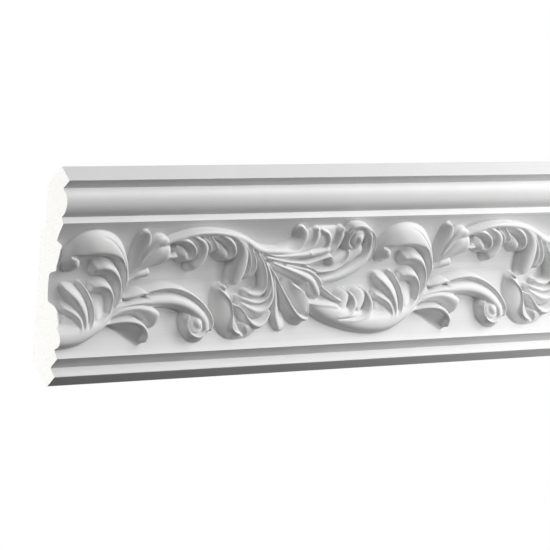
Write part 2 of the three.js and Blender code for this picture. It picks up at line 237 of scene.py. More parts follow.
    def back(self) -> Array:
        """The back: wall face, a slope, a step forward and a slope to the ceiling face.

        Returns:
            Its corners, from the foot of the wall face to the back of the ceiling face.
        """
        step_up = self.face_width - self.back_step_from_ceiling_edge
        step_front = self.off_face_line(step_up, -self.upper_back_depth)
        step_width = (self.lower_back_depth - self.upper_back_depth) / self.face_out[0]
        ceiling_up = (self.drop + self.upper_back_depth * self.face_out[1]) / self.face_up[1]
        ceiling_back = self.off_face_line(ceiling_up, -self.upper_back_depth)
        step_back = step_front - [step_width, 0.0]
        return np.array([self.wall_face_foot, self.wall_face_top, step_back, step_front, ceiling_back])


@dataclass(frozen=True)
class Move:
    """A shift of a leaf's stations, given at two places as (up the face, shift along, shift up).

    It runs evenly from one place to the other and stays as it is beyond them.
    """

    upper: Spot
    lower: Spot

    def applied(self, stations: Array) -> Array:
        """Shifts stations by what the move is at their place up the face.

        Args:
            stations: The stations, one to a row.

        Returns:
            The stations with new places along and up the face.
        """
        ends = np.array([self.lower, self.upper])
        shifts = [np.interp(stations[:, 1], ends[:, 0], ends[:, 1 + axis]) for axis in (0, 1)]
        return stations + np.stack([*shifts, *np.zeros_like(shifts)], axis=1)


@dataclass(frozen=True)
class Leaf:
    """One carved form: a midrib from root to tip in stations of (along, up the face, half width, height).

    The crest stands off the midrib by lean, a share of the half width to the left on the way to the tip.
    """

    name: str
    stations: tuple[Station, ...]
    lean: float = 0.0
    left: Side = Side.ROUND
    right: Side = Side.ROUND
    move: Move | None = None

    def path(self) -> Array:
        """Stations of the midrib, moved where the leaf has a move."""
        stations = np.array(self.stations, dtype=float)
        return stations if self.move is None else self.move.applied(stations)


@dataclass(frozen=True)
class Groove:
    """One cut into the carving, in stations of (along, up the face, half width, depth)."""

    name: str
    stations: tuple[Station, ...]

    def path(self) -> Array:
        """Stations of the cut's middle line."""
        return np.array(self.stations, dtype=float)


# Moves that a comb lobe shares with the floor inside it
FIRST_COMB_MOVE = Move((112, 3.5, -4.5), (93, 4.5, -1.5))
FIFTH_COMB_MOVE = Move((113, 3, -3), (93, 3.5, -1))

# One repeat of the carving, drawn on a repeat of 333.3 mm and a face of 165 mm
LEAVES = (
    # Stem along the bottom and the hood that rises from it
    Leaf("stem", (
        (266, 54, 4, 8), (281, 49, 8.5, 9.5), (295, 45, 9.7, 10), (311, 40.8, 9.5, 10),
        (327, 38.5, 9.3, 10), (341, 38, 9, 10), (355, 39.5, 8.5, 9.5), (369, 42.5, 7, 8.5),
        (381, 46, 5, 7.5), (392, 53, 3.5, 7), (402, 61, 3, 6.5),
    ), lean=0.15),
    Leaf("hood", (
        (52, 44, 1.5, 5), (64, 57, 2.8, 7), (71.5, 70, 3.4, 8.5), (73, 80, 4, 9.5), (70, 90.5, 5, 10),
        (63.3, 99, 6.6, 10.6), (53, 104.6, 8.6, 11), (41, 107, 9.8, 11.2), (31, 106.8, 9.8, 10.8),
        (23, 104.5, 9, 9.6), (16.5, 100, 7.4, 8.6), (13, 94.5, 5.4, 8), (13.5, 89, 3.4, 7),
    ), lean=0.7, right=Side.SLOPE),
    Leaf("hood ball", ((18.5, 91.6, 5.8, 9),)),
    Leaf("hood ball's floor", ((19, 91.5, 6, 6.5),)),

    # Fingers and cup inside the hood
    Leaf("upper finger", (
        (59, 54, 1.6, 6), (66, 66, 2.8, 7.5), (65.4, 75.5, 4.4, 9), (61, 82.3, 6, 9.6),
        (55, 86.6, 6.8, 9.8), (48.5, 88.3, 7, 9.4), (43, 87.8, 6.2, 8),
    ), lean=0.1, left=Side.SLOPE, right=Side.SLOPE),
    Leaf("lower finger", (
        (51, 46, 1.5, 6), (57.2, 55.5, 2.6, 7.3), (59, 63.5, 3.8, 8.3), (56.6, 69.6, 5, 8.8),
        (52.3, 73.3, 6, 8.7), (47, 74.4, 6, 7.8), (42.5, 73.8, 5, 6.6),
    ), lean=0.1, left=Side.SLOPE, right=Side.SLOPE),
    Leaf("cup", ((42, 44, 4, 7), (46, 52, 6.5, 4.6), (48, 60, 7.5, 2.4), (47, 66, 6, 1))),
    Leaf("outer blade", (
        (29.5, 38.5, 2, 8), (36, 45.5, 3, 9.3), (38.6, 54, 3.9, 9.8), (37.2, 62, 4.2, 9.8),
        (34, 68.5, 3.8, 9.2), (30.6, 73.3, 2.8, 8.2), (28.4, 76, 1.8, 7),
    ), lean=0.3, right=Side.SLOPE),
    Leaf("inner blade", (
        (23, 37, 2.5, 8.5), (29.4, 43, 4.4, 9.8), (31.2, 51, 6, 10.4), (29.4, 58.5, 7.4, 10.6),
        (24.8, 65.5, 7.4, 10.4), (19.8, 69.8, 6.2, 9.2), (15.5, 72.4, 4.4, 7.6), (12.5, 74, 2.6, 6),
    ), lean=0.5, right=Side.SLOPE),
    Leaf("curled lobe", (
        (13, 36.5, 2.5, 9), (20, 38, 3.4, 9.6), (24.8, 42, 4.4, 10), (25.6, 47.5, 4.8, 10),
        (23.2, 52.6, 4.9, 9.8), (18.6, 56.2, 4.7, 9), (14.6, 58, 4, 7.8), (11.6, 59, 3, 6.4),
    ), lean=0.4, right=Side.SLOPE),
    Leaf("curled lobe's floor", ((19, 44, 6, 7.5), (13, 47, 6, 4))),

    # Leaves that spring from the stem to the right
    Leaf("lower spear", (
        (52, 45, 1.5, 6), (63, 47, 2.3, 8.5), (73, 47.2, 3.1, 10.3), (81, 45.6, 3.8, 11), (86.3, 42, 4, 11),
        (88.3, 37, 3.6, 10.5), (86.3, 33, 2.6, 9),
    )),
    Leaf("lower spear's scoop", (
        (60, 44, 2.4, 5.5), (69, 42.3, 5, 7.5), (77, 39.3, 7.4, 8.5), (82.5, 36.2, 7.4, 8.5),
    ), lean=0.6, right=Side.SCOOP),
    Leaf("upper spear", (
        (58, 50.5, 2, 7), (70, 54, 3.8, 8.8), (82, 54.8, 4.8, 9.6), (92, 52.6, 6.4, 10), (99, 49.3, 8, 9.7),
    ), lean=0.4, right=Side.SLOPE),
    Leaf("bud", (
        (72, 64, 1.6, 7.5), (77, 65.3, 3, 9.2), (82, 66.6, 3.9, 9.8), (88, 67.8, 3.5, 9.8),
        (93.5, 67.3, 2.2, 9.4),
    )),
    Leaf("band", ((60, 54.5, 2.2, 7.5), (72, 58.3, 3.2, 8.8), (85, 60.3, 3.6, 9.3), (97, 60.6, 3.6, 9.4))),

    # Fan of leaves over them, with a pearl beside it
    Leaf("first fan leaf", (
        (79, 82, 2.5, 4.5), (81.5, 92, 5, 5.4), (84, 102, 7.2, 6), (85, 109, 7, 6.2), (85, 113.6, 4.4, 5.8),
    ), lean=-0.6, left=Side.SLOPE, move=Move((114, 0, -1.5), (82, 0, 0))),
    Leaf("second fan leaf", (
        (83, 90, 2.5, 6.5), (89, 100, 5.5, 7.6), (96, 107.8, 7, 8.2), (102, 108.6, 6, 8.2),
    ), lean=0.15, move=Move((109, 2, -2.5), (90, 2, -1))),
    Leaf("third fan leaf", (
        (80, 84, 2.4, 6.5), (90, 91.5, 6, 8.8), (99, 97, 8.8, 10), (104.3, 98.3, 8.9, 10.2),
    ), move=Move((109, 2, -1.5), (90, 2, -0.5))),
    Leaf("fourth fan leaf", ((75, 77, 1.5, 6.5), (83, 81.3, 3.4, 8.4), (91.5, 83, 4.4, 9.2))),
    Leaf("pearl", ((113.8, 94.3, 2.3, 8.6), (119, 95, 2.6, 9))),

    # Arch and the comb of curled lobes that hangs from it
    Leaf("arch", (
        (104, 104.5, 2.6, 7.5), (112, 107.6, 3, 8.2), (122, 110.4, 3.1, 8.8), (135, 112.8, 3.3, 9),
        (150, 113.2, 3.4, 9), (165, 112, 3.4, 9), (180, 109.2, 3.5, 9), (192, 105, 3.9, 9),
        (203, 99.8, 4.5, 9), (212, 97.3, 4.2, 9.3), (222, 96.6, 3.8, 9), (234, 96, 4, 8), (246, 95, 3.8, 7),
        (257, 94.4, 2.8, 6.4), (266, 94.6, 1.8, 6),
    ), lean=-0.2),
    Leaf("first comb lobe", (
        (111, 111.6, 2, 8.4), (119, 111.8, 2.9, 9.3), (126.2, 109, 3.4, 9.9), (131.2, 104.3, 3.6, 10.2),
        (132.9, 99.3, 3.6, 10), (131, 95.2, 2.8, 9.3), (127.4, 93.6, 1.8, 8.5),
    ), lean=0.15, move=FIRST_COMB_MOVE),
    Leaf("first comb lobe's floor", (
        (118, 104, 4, 3.5), (121.5, 100, 6, 5), (125, 97, 5, 7.3),
    ), move=FIRST_COMB_MOVE),
    Leaf("second comb lobe", (
        (125, 114.5, 2, 8.6), (134, 111.3, 3.4, 9.5), (140.3, 105.8, 5.2, 10), (142.6, 99.3, 6.7, 10.1),
        (140.6, 93, 7.4, 9.6), (136.6, 88.6, 5.8, 8.7),
    ), lean=0.45, move=Move((113, 3, -4), (88, 3, 0))),
    Leaf("third comb lobe", (
        (140, 112.8, 1.8, 9), (145.7, 108, 2.7, 9.7), (149.3, 102.8, 2.9, 9.7), (149.8, 98.5, 2.3, 8.9),
    ), lean=0.2, move=Move((114, 3, -4), (97, 3, -1.5))),
    Leaf("fourth comb lobe", (
        (147.5, 113, 1.8, 9), (152.5, 107.6, 2.7, 9.5), (156.3, 102.8, 2.7, 9.2),
    ), lean=0.2, move=Move((113, 3, -3.5), (102, 3.5, -2))),
    Leaf("fifth comb lobe", (
        (158, 113, 2, 8.8), (165.5, 110.3, 3, 9.5), (171.6, 105.6, 3.6, 10), (175.2, 100.3, 3.8, 10.1),
        (175.5, 95.8, 3.3, 9.5), (172.3, 92.8, 2.2, 8.6),
    ), lean=0.15, move=FIFTH_COMB_MOVE),
    Leaf("fifth comb lobe's floor", (
        (160, 103, 4.5, 3), (164.5, 99, 6, 4.5), (168, 96, 5, 7),
    ), move=FIFTH_COMB_MOVE),
    Leaf("sixth comb lobe", (
        (169, 111.8, 2, 8.8), (177, 107.8, 3.7, 9.6), (183.3, 101.8, 5.8, 10), (186.2, 94, 8.2, 10.1),
        (185.9, 86.5, 9.2, 10), (184.2, 79.5, 8, 9.4), (181.5, 75, 5, 8.3),
    ), lean=0.4, move=Move((112, 2, -2), (75, 2.5, -0.8))),
    Leaf("seventh comb lobe", (
        (180, 108.5, 1.5, 9), (187, 104, 2.3, 9.6), (193.2, 97, 2.9, 9.8), (196.8, 89, 3.3, 9.7),
        (196.8, 82, 3, 9.1), (194.4, 77.5, 2.1, 8.2),
    ), lean=0.2, move=Move((108, 1, -1), (77, 1.5, 0))),
    Leaf("eighth comb lobe", (
        (196, 100, 1.6, 9.2), (200.2, 93.5, 2.7, 9.6), (203.2, 87, 3.1, 9.6), (202.8, 81, 3, 9),
        (199.3, 76.8, 2.1, 8),
    ), lean=0.2, move=Move((100, 1, -0.5), (77, 1, 0))),

    # Strands that fall from the arch and turn to the left
    Leaf("first strand", (
        (203.5, 98.3, 2, 9), (210.5, 91, 2.6, 9.6), (215.7, 83, 2.8, 10), (218, 74, 2.8, 10),
        (217.4, 67.6, 2.8, 9.8), (213, 63.4, 3.2, 9.4), (206.5, 62.2, 3.6, 9), (200.5, 63.6, 3.2, 8),
    ), lean=-0.2),
    Leaf("second strand", (
        (209, 95, 1.8, 9.5), (216.3, 86, 2.5, 10), (221, 76, 2.5, 10.4), (222, 67, 2.5, 10.4),
        (218.7, 60, 2.5, 10), (212, 57, 2.4, 9.6), (205, 56.8, 2.6, 9.3), (198.5, 58.3, 2.7, 9),
        (193, 60, 2, 8),
    ), lean=-0.2),
    Leaf("third strand", (
        (212, 92.5, 2.4, 9.6), (219.5, 82.5, 3.8, 10.4), (224, 72, 4.6, 10.8), (225.2, 62, 4.6, 10.8),
        (221.8, 54.8, 4.8, 10.5), (214.5, 49.8, 5.6, 10.1), (206, 49, 5.8, 9.8), (198.5, 51.8, 4.6, 9.2),
        (192.5, 55.5, 2.6, 8.5),
    ), lean=-0.3, left=Side.SLOPE),

    # Small leaf and the spoon under the strands
    Leaf("small leaf", (
        (220, 87, 1.8, 9.5), (226.5, 76.5, 2.8, 9.8), (230, 66, 4, 9.2), (231.8, 56, 5.6, 7.8),
        (233, 48, 7, 6.4), (234.6, 41, 7.2, 5.6),
    ), lean=-0.6, left=Side.SLOPE),
    Leaf("spoon ridge", (
        (218, 86.5, 2, 9.8), (226.5, 77.5, 2.7, 10.4), (234.5, 66.5, 3.1, 10.8), (240.8, 57.5, 3.3, 11),
        (246.6, 49.5, 3.3, 11), (251.8, 45, 3, 10.6), (257, 43, 2.6, 10), (261.5, 42.8, 2, 9.3),
    )),
    Leaf("spoon ridge's flank", (
        (238, 60, 3, 9), (243, 51, 4.6, 8.6), (249, 44, 5, 8), (255, 41.5, 4, 7), (260, 41.5, 2.4, 6),
    ), lean=0.6, right=Side.SLOPE),
    Leaf("spoon", (
        (242, 71.5, 2, 7.5), (246.5, 66.5, 5.2, 8.6), (251.5, 60.5, 8.6, 9.4), (255, 54, 9.4, 9.6),
        (257.5, 48.5, 6, 9.2),
    ), lean=0.78, right=Side.SLOPE),
    Leaf("spoon rim", (
        (244, 73.3, 1.2, 9.5), (247, 70, 1.4, 9.8), (253, 66.4, 1.5, 9.9), (259.3, 63, 1.7, 9.9),
        (263.2, 57, 1.8, 9.9), (263.3, 50, 1.7, 9.7), (262, 45, 1.4, 9.5),
    )),

    # Long leaves that run to the right over the spoon
    Leaf("first wing leaf", (
        (224, 87.3, 2, 9.5), (236, 83.4, 3, 10.2), (248, 79.6, 3.6, 10.6), (258, 76.3, 4.6, 10.6),
        (266.5, 72.3, 5.7, 10.3), (272.3, 66.5, 6.1, 9.8), (275.3, 62, 5, 9.2),
    )),
    Leaf("wing web", ((262.5, 70, 2, 10.3), (261, 64, 1.6, 9.8))),
    Leaf("wing slope", (
        (238, 85.5, 1.5, 9), (250, 83, 1.9, 9), (262, 80.7, 2.3, 9), (271, 77, 2.7, 9),
        (278, 71.5, 2.9, 8.8), (281.5, 65, 2.4, 8.4),
    )),
    Leaf("second wing leaf", (
        (216, 92, 1.4, 9.4), (232, 88.9, 2.1, 9.8), (248, 87, 2.3, 10), (260, 86.2, 2.4, 10),
        (268, 87.6, 2, 9.8), (277, 89.6, 1.8, 9.6), (285, 91.2, 2, 9.2), (288.5, 90.3, 2.2, 8.6),
    )),
    Leaf("third wing leaf", (
        (258, 84.5, 1.2, 10), (267, 82.4, 1.5, 10), (274, 79.6, 1.6, 9.7), (283, 79.4, 2.2, 9.5),
        (292, 80.6, 2.5, 9.2), (301, 84, 2.5, 8.7), (306.5, 89.5, 2.2, 8), (308, 94.5, 1.8, 7),
    )),
    Leaf("fourth wing leaf", (
        (212, 95.3, 1.2, 9.3), (226, 92.8, 1.6, 9.2), (242, 92.4, 2.5, 8.8), (256, 92.9, 3.3, 8.4),
        (270, 94, 3.8, 8.2), (283, 96, 3.8, 8),
    )),

    # Crown of round lobes
    Leaf("first crown lobe", (
        (226, 97.5, 2, 7.4), (238, 98.2, 4.8, 6.6), (246.5, 100, 7.2, 5.8), (251.5, 104, 8, 5.4),
        (252, 108, 7.2, 5.2), (249, 112, 5, 4.8),
    ), lean=-0.6, left=Side.SLOPE),
    Leaf("crown floor", (
        (250, 101, 5, 4.2), (264, 103, 13, 5), (284, 104, 13, 5.3),
    ), move=Move((104, 1, -1), (101, 0, -1))),
    Leaf("second crown lobe", (
        (242, 95.5, 2, 7), (255, 96.6, 5, 6.6), (264, 100.6, 7.8, 6.4), (267, 105.6, 8.2, 6.4),
        (266.8, 110, 5.8, 6), (267, 112.8, 3, 5.6),
    ), lean=-0.2, left=Side.SLOPE, right=Side.SLOPE),
    Leaf("third crown lobe", (
        (270, 96.5, 3, 6.4), (277, 98.6, 4.6, 6.8), (279.5, 104.5, 5, 7), (276.5, 110.3, 4.6, 6.6),
        (271, 113.6, 3.4, 6),
    ), lean=-0.5, left=Side.SLOPE, move=Move((114, 2, -3), (96, 1, -1))),
    Leaf("fourth crown lobe", (
        (266, 93.8, 2, 6.8), (279, 95, 5, 6.8), (289, 99.5, 8.8, 7.2), (292, 105, 9.2, 7.6),
        (292.4, 109.8, 6.4, 7.4), (294, 113, 3.2, 7),
    ), lean=-0.2, left=Side.SLOPE, right=Side.SLOPE),
    Leaf("crown drop", ((263.5, 94.6, 1.5, 9), (265, 92.7, 1.4, 9), (267.5, 92, 1.1, 8.6))),

    # Upper volute and its scroll
    Leaf("upper volute", ((311.8, 105.2, 12.4, 8.2),)),
    Leaf("upper volute eye", ((314.5, 104.6, 6.2, 9.8),)),
    Leaf("volute's outer turn", (
        (329, 105, 4.5, 8), (325.5, 110, 4.2, 8.2), (319.5, 113.5, 3.8, 8.3), (312, 115.3, 3.6, 8.2),
        (304.8, 114.6, 3.7, 8), (300.3, 110.5, 3.2, 7.4),
    )),
    Leaf("scroll", (
        (319, 112, 2.5, 8), (326.5, 108.6, 4, 8), (331.5, 102, 5.8, 7.8), (331.5, 94.5, 6.6, 7.8),
        (327, 87.3, 6.3, 8), (318, 81.3, 5.8, 8.3), (307.5, 77, 5.2, 8.6), (295, 73.7, 4.7, 9),
        (281, 71.6, 4, 9),
    ), lean=-0.2),
    Leaf("scroll rim", (
        (325, 112, 1.2, 8), (331, 108.5, 1.5, 8), (335, 102, 1.6, 8), (336, 94, 1.5, 8),
        (333, 87, 1.2, 7.6),
    )),
    Leaf("scroll floor", ((294, 86.5, 5.5, 5.8), (307, 89.5, 8.5, 6), (318, 95, 8, 6))),

    # Lobes on the stem
    Leaf("first stem lobe", (
        (279, 67, 1.5, 9.5), (288, 61.8, 2.1, 9.2), (295, 58, 2.1, 9), (300.5, 55.3, 2, 8.6),
    )),
    Leaf("second stem lobe", (
        (266, 54.5, 2, 8.8), (275, 53.3, 3.8, 9.8), (286, 52.4, 4.4, 10.2), (295, 51, 3.4, 10),
    )),
    Leaf("third stem lobe", (
        (295, 43.3, 2, 10.2), (304.8, 44.6, 2.8, 10.5), (311.6, 47.6, 3.6, 10.4), (315, 52.5, 4, 10.2),
        (314, 57.5, 3.9, 9.8), (310.5, 61.2, 3.2, 9.2),
    ), lean=-0.2),
    Leaf("third stem lobe's floor", ((301.5, 50.5, 6.4, 8.6), (305.5, 56, 7, 8.6), (307.5, 59, 5, 8.4))),
    Leaf("fourth stem lobe", (
        (308, 39.6, 2, 10.2), (319, 41, 2.8, 10.7), (328, 44.3, 3.8, 10.8), (332.8, 49.8, 4.5, 10.6),
        (332.6, 55.8, 4.5, 10), (329.5, 61, 3.7, 9.4),
    ), lean=-0.2),
    Leaf("fourth stem lobe's floor", ((319.5, 51, 7, 8.8), (323.5, 56, 7.6, 8.8), (325.5, 59, 5.5, 8.6))),

    # Tendril and the lower volute at its end
    Leaf("tendril", (
        (97, 61.6, 5.2, 9.2), (107, 61.9, 5.8, 9.5), (119, 61.4, 6.2, 9.9), (130, 59.2, 6.4, 10.2),
        (139.5, 55.4, 6.8, 10.4), (147, 50.3, 7.2, 10.6), (151.3, 44.8, 7, 10.6), (151, 39.8, 5.4, 10),
    ), lean=-0.2),
    Leaf("tendril bead", (
        (93, 68.8, 2.2, 9.4), (106, 70.6, 2.9, 9.9), (118, 70.9, 3, 10.2), (130, 68.3, 3, 10.5),
        (140.5, 63.8, 3, 10.7), (149.8, 57.2, 3, 10.8), (156, 49.8, 2.9, 10.7), (158, 43.5, 2.6, 10.3),
        (155.6, 38.3, 2, 9.4),
    )),
    Leaf("lower volute", ((141.8, 42, 13.2, 8.8),)),
    Leaf("lower volute ring", (
        (136, 48.2, 1.4, 9.8), (132.2, 44.5, 1.7, 10), (131.6, 39.5, 1.8, 10), (134.6, 35.2, 1.8, 10),
        (140, 33.4, 1.8, 10), (145.3, 34.6, 1.6, 9.9), (149, 37, 1.4, 9.8),
    )),
    Leaf("lower volute eye", ((142.6, 43.4, 6.8, 10.9),)),

    # Berry and its calyx
    Leaf("berry", (
        (172, 65.5, 6, 7), (173.6, 58.5, 9.4, 7.8), (174.6, 50, 10.8, 8), (176.5, 42.5, 10.8, 8),
        (181, 38, 8.4, 7.8), (189, 36, 6.6, 7.6), (198, 36.3, 5.6, 7.2), (206, 39, 4.6, 7),
    ), lean=0.55, right=Side.SLOPE),
    Leaf("berry nib", ((174.3, 68.8, 3.4, 9),)),
    Leaf("berry ridge", (
        (170.5, 67.5, 1.1, 9), (175, 63.7, 1.2, 9.7), (179.2, 59.5, 1.3, 10.1), (181, 54.5, 1.3, 10.3),
        (180.8, 48.5, 1.3, 10.3), (179, 43, 1.3, 10.3), (178.6, 38.6, 1.3, 10), (181.8, 35.4, 1.2, 9.3),
        (187, 33.4, 1, 8.4),
    )),
    Leaf("calyx", (
        (183, 56, 1.4, 10), (188.5, 54, 1.8, 10), (192.6, 50.2, 2.2, 10), (196, 45.3, 2.9, 10),
        (200.6, 41.2, 3.7, 10), (206.3, 39.8, 3.9, 10), (212.8, 41.8, 3.5, 9.8), (218.3, 45.7, 2.4, 9.5),
        (222, 49.5, 1.4, 9.2),
    )),
)

# Veins, hollows and the gaps that part the forms, cut after the leaves are joined
GROOVES = (
    Groove("gap under the hood's lip", (
        (15, 97, 1, 3), (20, 96.6, 1.8, 6), (27, 95.8, 2.2, 8), (35, 95.6, 1.8, 6), (43, 97, 1.2, 4),
        (52, 95.6, 0.9, 2),
    )),
    Groove("hood vein", (
        (41, 111.8, 0.7, 0.3), (49, 109.3, 0.9, 0.8), (56, 104.6, 1, 1.2), (62, 98.6, 1, 1.3),
        (66.6, 91.5, 0.9, 1.2), (69, 84, 0.8, 1), (69.8, 77, 0.7, 0.6),
    )),
    Groove("blade groove", (
        (21, 75, 0.6, 0.4), (27.5, 71, 0.8, 0.8), (32.8, 65, 0.9, 0.9), (35.2, 57, 0.9, 0.9),
        (34.6, 49, 0.8, 0.9), (30.5, 42, 0.6, 0.6),
    )),
    Groove("upper stem vein", (
        (47, 44, 0.6, 0.7), (57, 53, 0.8, 1.2), (65, 59.5, 0.8, 1.2), (75, 61, 0.5, 0.6),
    )),
    Groove("lower stem vein", (
        (50, 45.6, 0.6, 0.7), (60, 49.6, 0.9, 1.6), (72, 50.6, 1.1, 2.2), (84, 49.6, 1.2, 2.4),
        (92, 46, 1, 1.6),
    )),
    Groove("upper spear vein", (
        (60, 55, 0.6, 0.8), (72, 57.6, 0.8, 1.2), (86, 58.5, 0.8, 1.2), (97, 57.6, 0.5, 0.8),
    )),
    Groove("stem groove", (
        (296, 41.3, 0.7, 0.9), (308, 41.8, 1, 1.8), (320, 43.3, 1, 1.8), (328, 47, 0.7, 1),
    )),
    Groove("tendril groove", (
        (95, 66, 0.8, 0.8), (108, 67.3, 1, 1.3), (120, 67, 1, 1.5), (132, 64.4, 1, 1.5),
        (142.3, 59.6, 1, 1.5), (150.6, 52.8, 1, 1.5), (154.8, 46, 1, 1.4), (154.8, 40.5, 0.8, 1),
    )),
    Groove("volute ring groove", (
        (138, 49, 0.8, 1), (134.8, 45.4, 1.1, 1.8), (134.1, 41, 1.2, 2), (136, 37.2, 1.2, 2),
        (140.6, 35.6, 1.1, 1.8), (146, 37.2, 0.9, 1.3),
    )),
    Groove("upper scroll groove", (
        (279, 77, 0.9, 0.9), (288, 77.3, 1.1, 1.6), (299, 79.3, 1.1, 1.6), (309, 83.2, 1.1, 1.5),
        (318, 88.3, 1, 1.2), (323, 94, 0.8, 0.8),
    )),
    Groove("upper volute groove", (
        (314, 112.3, 0.9, 1), (308.6, 110.4, 1.1, 1.8), (306, 105.5, 1.2, 2), (307.2, 100.8, 1.1, 1.8),
        (311.5, 97.7, 0.9, 1),
    )),
    Groove("scroll rim groove", (
        (324.3, 111, 0.7, 1), (329, 107.5, 0.9, 1.7), (331.5, 101.5, 0.9, 1.7), (332.3, 95, 0.8, 1.3),
        (330.5, 88, 0.6, 0.8),
    )),
    Groove("strand groove", (
        (206.5, 96.3, 0.5, 0.8), (213.5, 88, 0.7, 1.2), (219, 78, 0.7, 1.2), (220.2, 69, 0.7, 1),
    )),
    Groove("small leaf's hollow", ((232, 58, 1.5, 1.2), (236, 50.5, 3.4, 2.6), (236.5, 45, 2.6, 1.6))),
    Groove("gap at the crown's foot", (
        (236, 89.6, 0.6, 1), (250, 89, 0.9, 2), (264, 89.3, 0.9, 2), (276, 91.3, 0.9, 1.8),
        (288, 94, 0.7, 1),
    )),
    Groove("calyx hollow", (
        (184.6, 53.5, 1.3, 2), (186.3, 49, 3, 4), (187.6, 43, 4.4, 5.5), (189.5, 38, 4.6, 5),
        (192.5, 34.3, 3.4, 2.4),
    )),
)


@dataclass
class Carving:
    """The relief of one repeat as a field of heights over the cove, the same at both ends of the repeat."""

    repeat: float
    face: float
    foot: float
    top: float
    leaves: tuple[Leaf, ...] = LEAVES
    grooves: tuple[Groove, ...] = GROOVES
    drawn_repeat: float = 333.3
    drawn_face: float = 165.0
    pitch: float = 0.4
    steps_between_stations: int = 8
    blend: float = 0.5
    softness: float = 0.5
    hollow_reach: float = 3.5
    hollow_depth: float = 4.0
    edge_softnesses: float = 4.0
    quick_pitch: float = 1.0

    def __post_init__(self) -> None:
        """Lays out the grid: columns along the repeat, rows up the face from the cove's foot to its top."""
        self.columns = round(self.repeat / self.pitch)
        self.rows = round((self.top - self.foot) / self.pitch) + 1
        self.ups = np.linspace(self.foot, self.top, self.rows)

    def midrib(self, stations: Array) -> Array:
        """Points on a smooth midrib through the stations, by Catmull-Rom's cubic of four stations at a time.

        Args:
            stations: Places along and up, half widths, and heights or depths.

        Returns:
            One row for each point, in the sizes of this part.
        """
        scale = np.array([self.repeat / self.drawn_repeat, *[self.face / self.drawn_face] * 3])
        given = stations * scale
        if len(given) == 1:
            return given
        ends = 2 * given[0] - given[1], 2 * given[-1] - given[-2]
        a, b, c, d = (np.vstack([ends[0], given, ends[1]])[i:len(given) - 1 + i, None] for i in range(4))
        t = (np.arange(self.steps_between_stations) / self.steps_between_stations)[:, None]
        cubic = 2 * b + (c - a) * t + (2 * a - 5 * b + 4 * c - d) * t**2 + (3 * b - a - 3 * c + d) * t**3
        return np.vstack([cubic.reshape(-1, 4) / 2, given[-1:]])

    @staticmethod
    def fall(share: Array, side: Side) -> Array:
        """Height of a side as a share of the crest's: one less a power of the way out, to a power.

        Args:
            share: Way from the crest, 0, to the edge, 1.
            side: How the side falls.

        Returns:
            The share of the crest's height.
        """
        way, power = {Side.ROUND: (2.1, 0.55), Side.SLOPE: (1.6, 0.8), Side.SCOOP: (1.1, 1.25)}[side]
        return (1 - np.clip(share, 0, 1) ** way) ** power

    def window(self, line: Array) -> tuple[Array, slice, Array, Array]:
        """Part of the grid that a midrib can reach.

        Args:
            line: Points of the midrib.

        Returns:
            The columns, wrapped round the repeat, the rows, and the places along and up of their points.
        """
        reach = line[:, 2].max() + self.pitch
        step = self.repeat / self.columns
        first, last = (line[:, 0].min() - reach) / step, (line[:, 0].max() + reach) / step
        columns = np.arange(math.floor(first), math.ceil(last) + 1)
        bottom = np.searchsorted(self.ups, line[:, 1].min() - reach)
        top = np.searchsorted(self.ups, line[:, 1].max() + reach)
        along, up = np.meshgrid(columns * step, self.ups[bottom:top])
        return columns % self.columns, slice(bottom, top), along, up

    def nearest(self, line: Array, along: Array, up: Array) -> tuple[Array, Array, Array]:
        """Nearest point of a midrib, in half widths, over its straight pieces.

        Args:
            line: Points of the midrib.
            along: Places along of the grid's points.
            up: Places up of the grid's points.

        Returns:
            The distance and the distance to the left, both in half widths, and the midrib's last value.
        """
        if len(line) == 1:
            line = np.vstack([line, line + [self.pitch / 10, 0, 0, 0]])
        best = np.full(along.shape, np.inf)
        across, value = np.zeros(along.shape), np.zeros(along.shape)
        for start, end in zip(line, line[1:]):
            way = (end - start)[:2]
            length = math.hypot(*way)
            share = np.clip(((along - start[0]) * way[0] + (up - start[1]) * way[1]) / length**2, 0, 1)
            off_along = along - start[0] - share * way[0]
            off_up = up - start[1] - share * way[1]
            half_width = start[2] + share * (end[2] - start[2])
            distance = np.hypot(off_along, off_up) / half_width
            nearer = distance < best
            best = np.where(nearer, distance, best)
            left = (way[0] * off_up - way[1] * off_along) / length / half_width
            across = np.where(nearer, left, across)
            value = np.where(nearer, start[3] + share * (end[3] - start[3]), value)
        return best, across, value

    def raised(self, leaf: Leaf, along: Array, up: Array) -> Array:
        """Height of one leaf: the midrib's height, less the falls across to each side and past each end.

        Args:
            leaf: The leaf.
            along: Places along of the grid's points.
            up: Places up of the grid's points.

        Returns:
            The heights, zero outside the leaf.
        """
        distance, across, height = self.nearest(self.midrib(leaf.path()), along, up)
        left = self.fall((across - leaf.lean) / (1 - leaf.lean), leaf.left)
        right = self.fall((leaf.lean - across) / (1 + leaf.lean), leaf.right)
        past_end = np.sqrt(np.clip(distance**2 - across**2, 0, None))
        sides = np.where(across > leaf.lean, left, right)
        return np.where(distance < 1, height * sides * self.fall(past_end, Side.ROUND), 0)

    def joined(self, one: Array, other: Array) -> Array:
        """The higher of two surfaces, with a fillet where they cross: a parabola as wide as the blend."""
        share = np.clip(0.5 + (one - other) / (2 * self.blend), 0, 1)
        return other + (one - other) * share + self.blend * share * (1 - share)

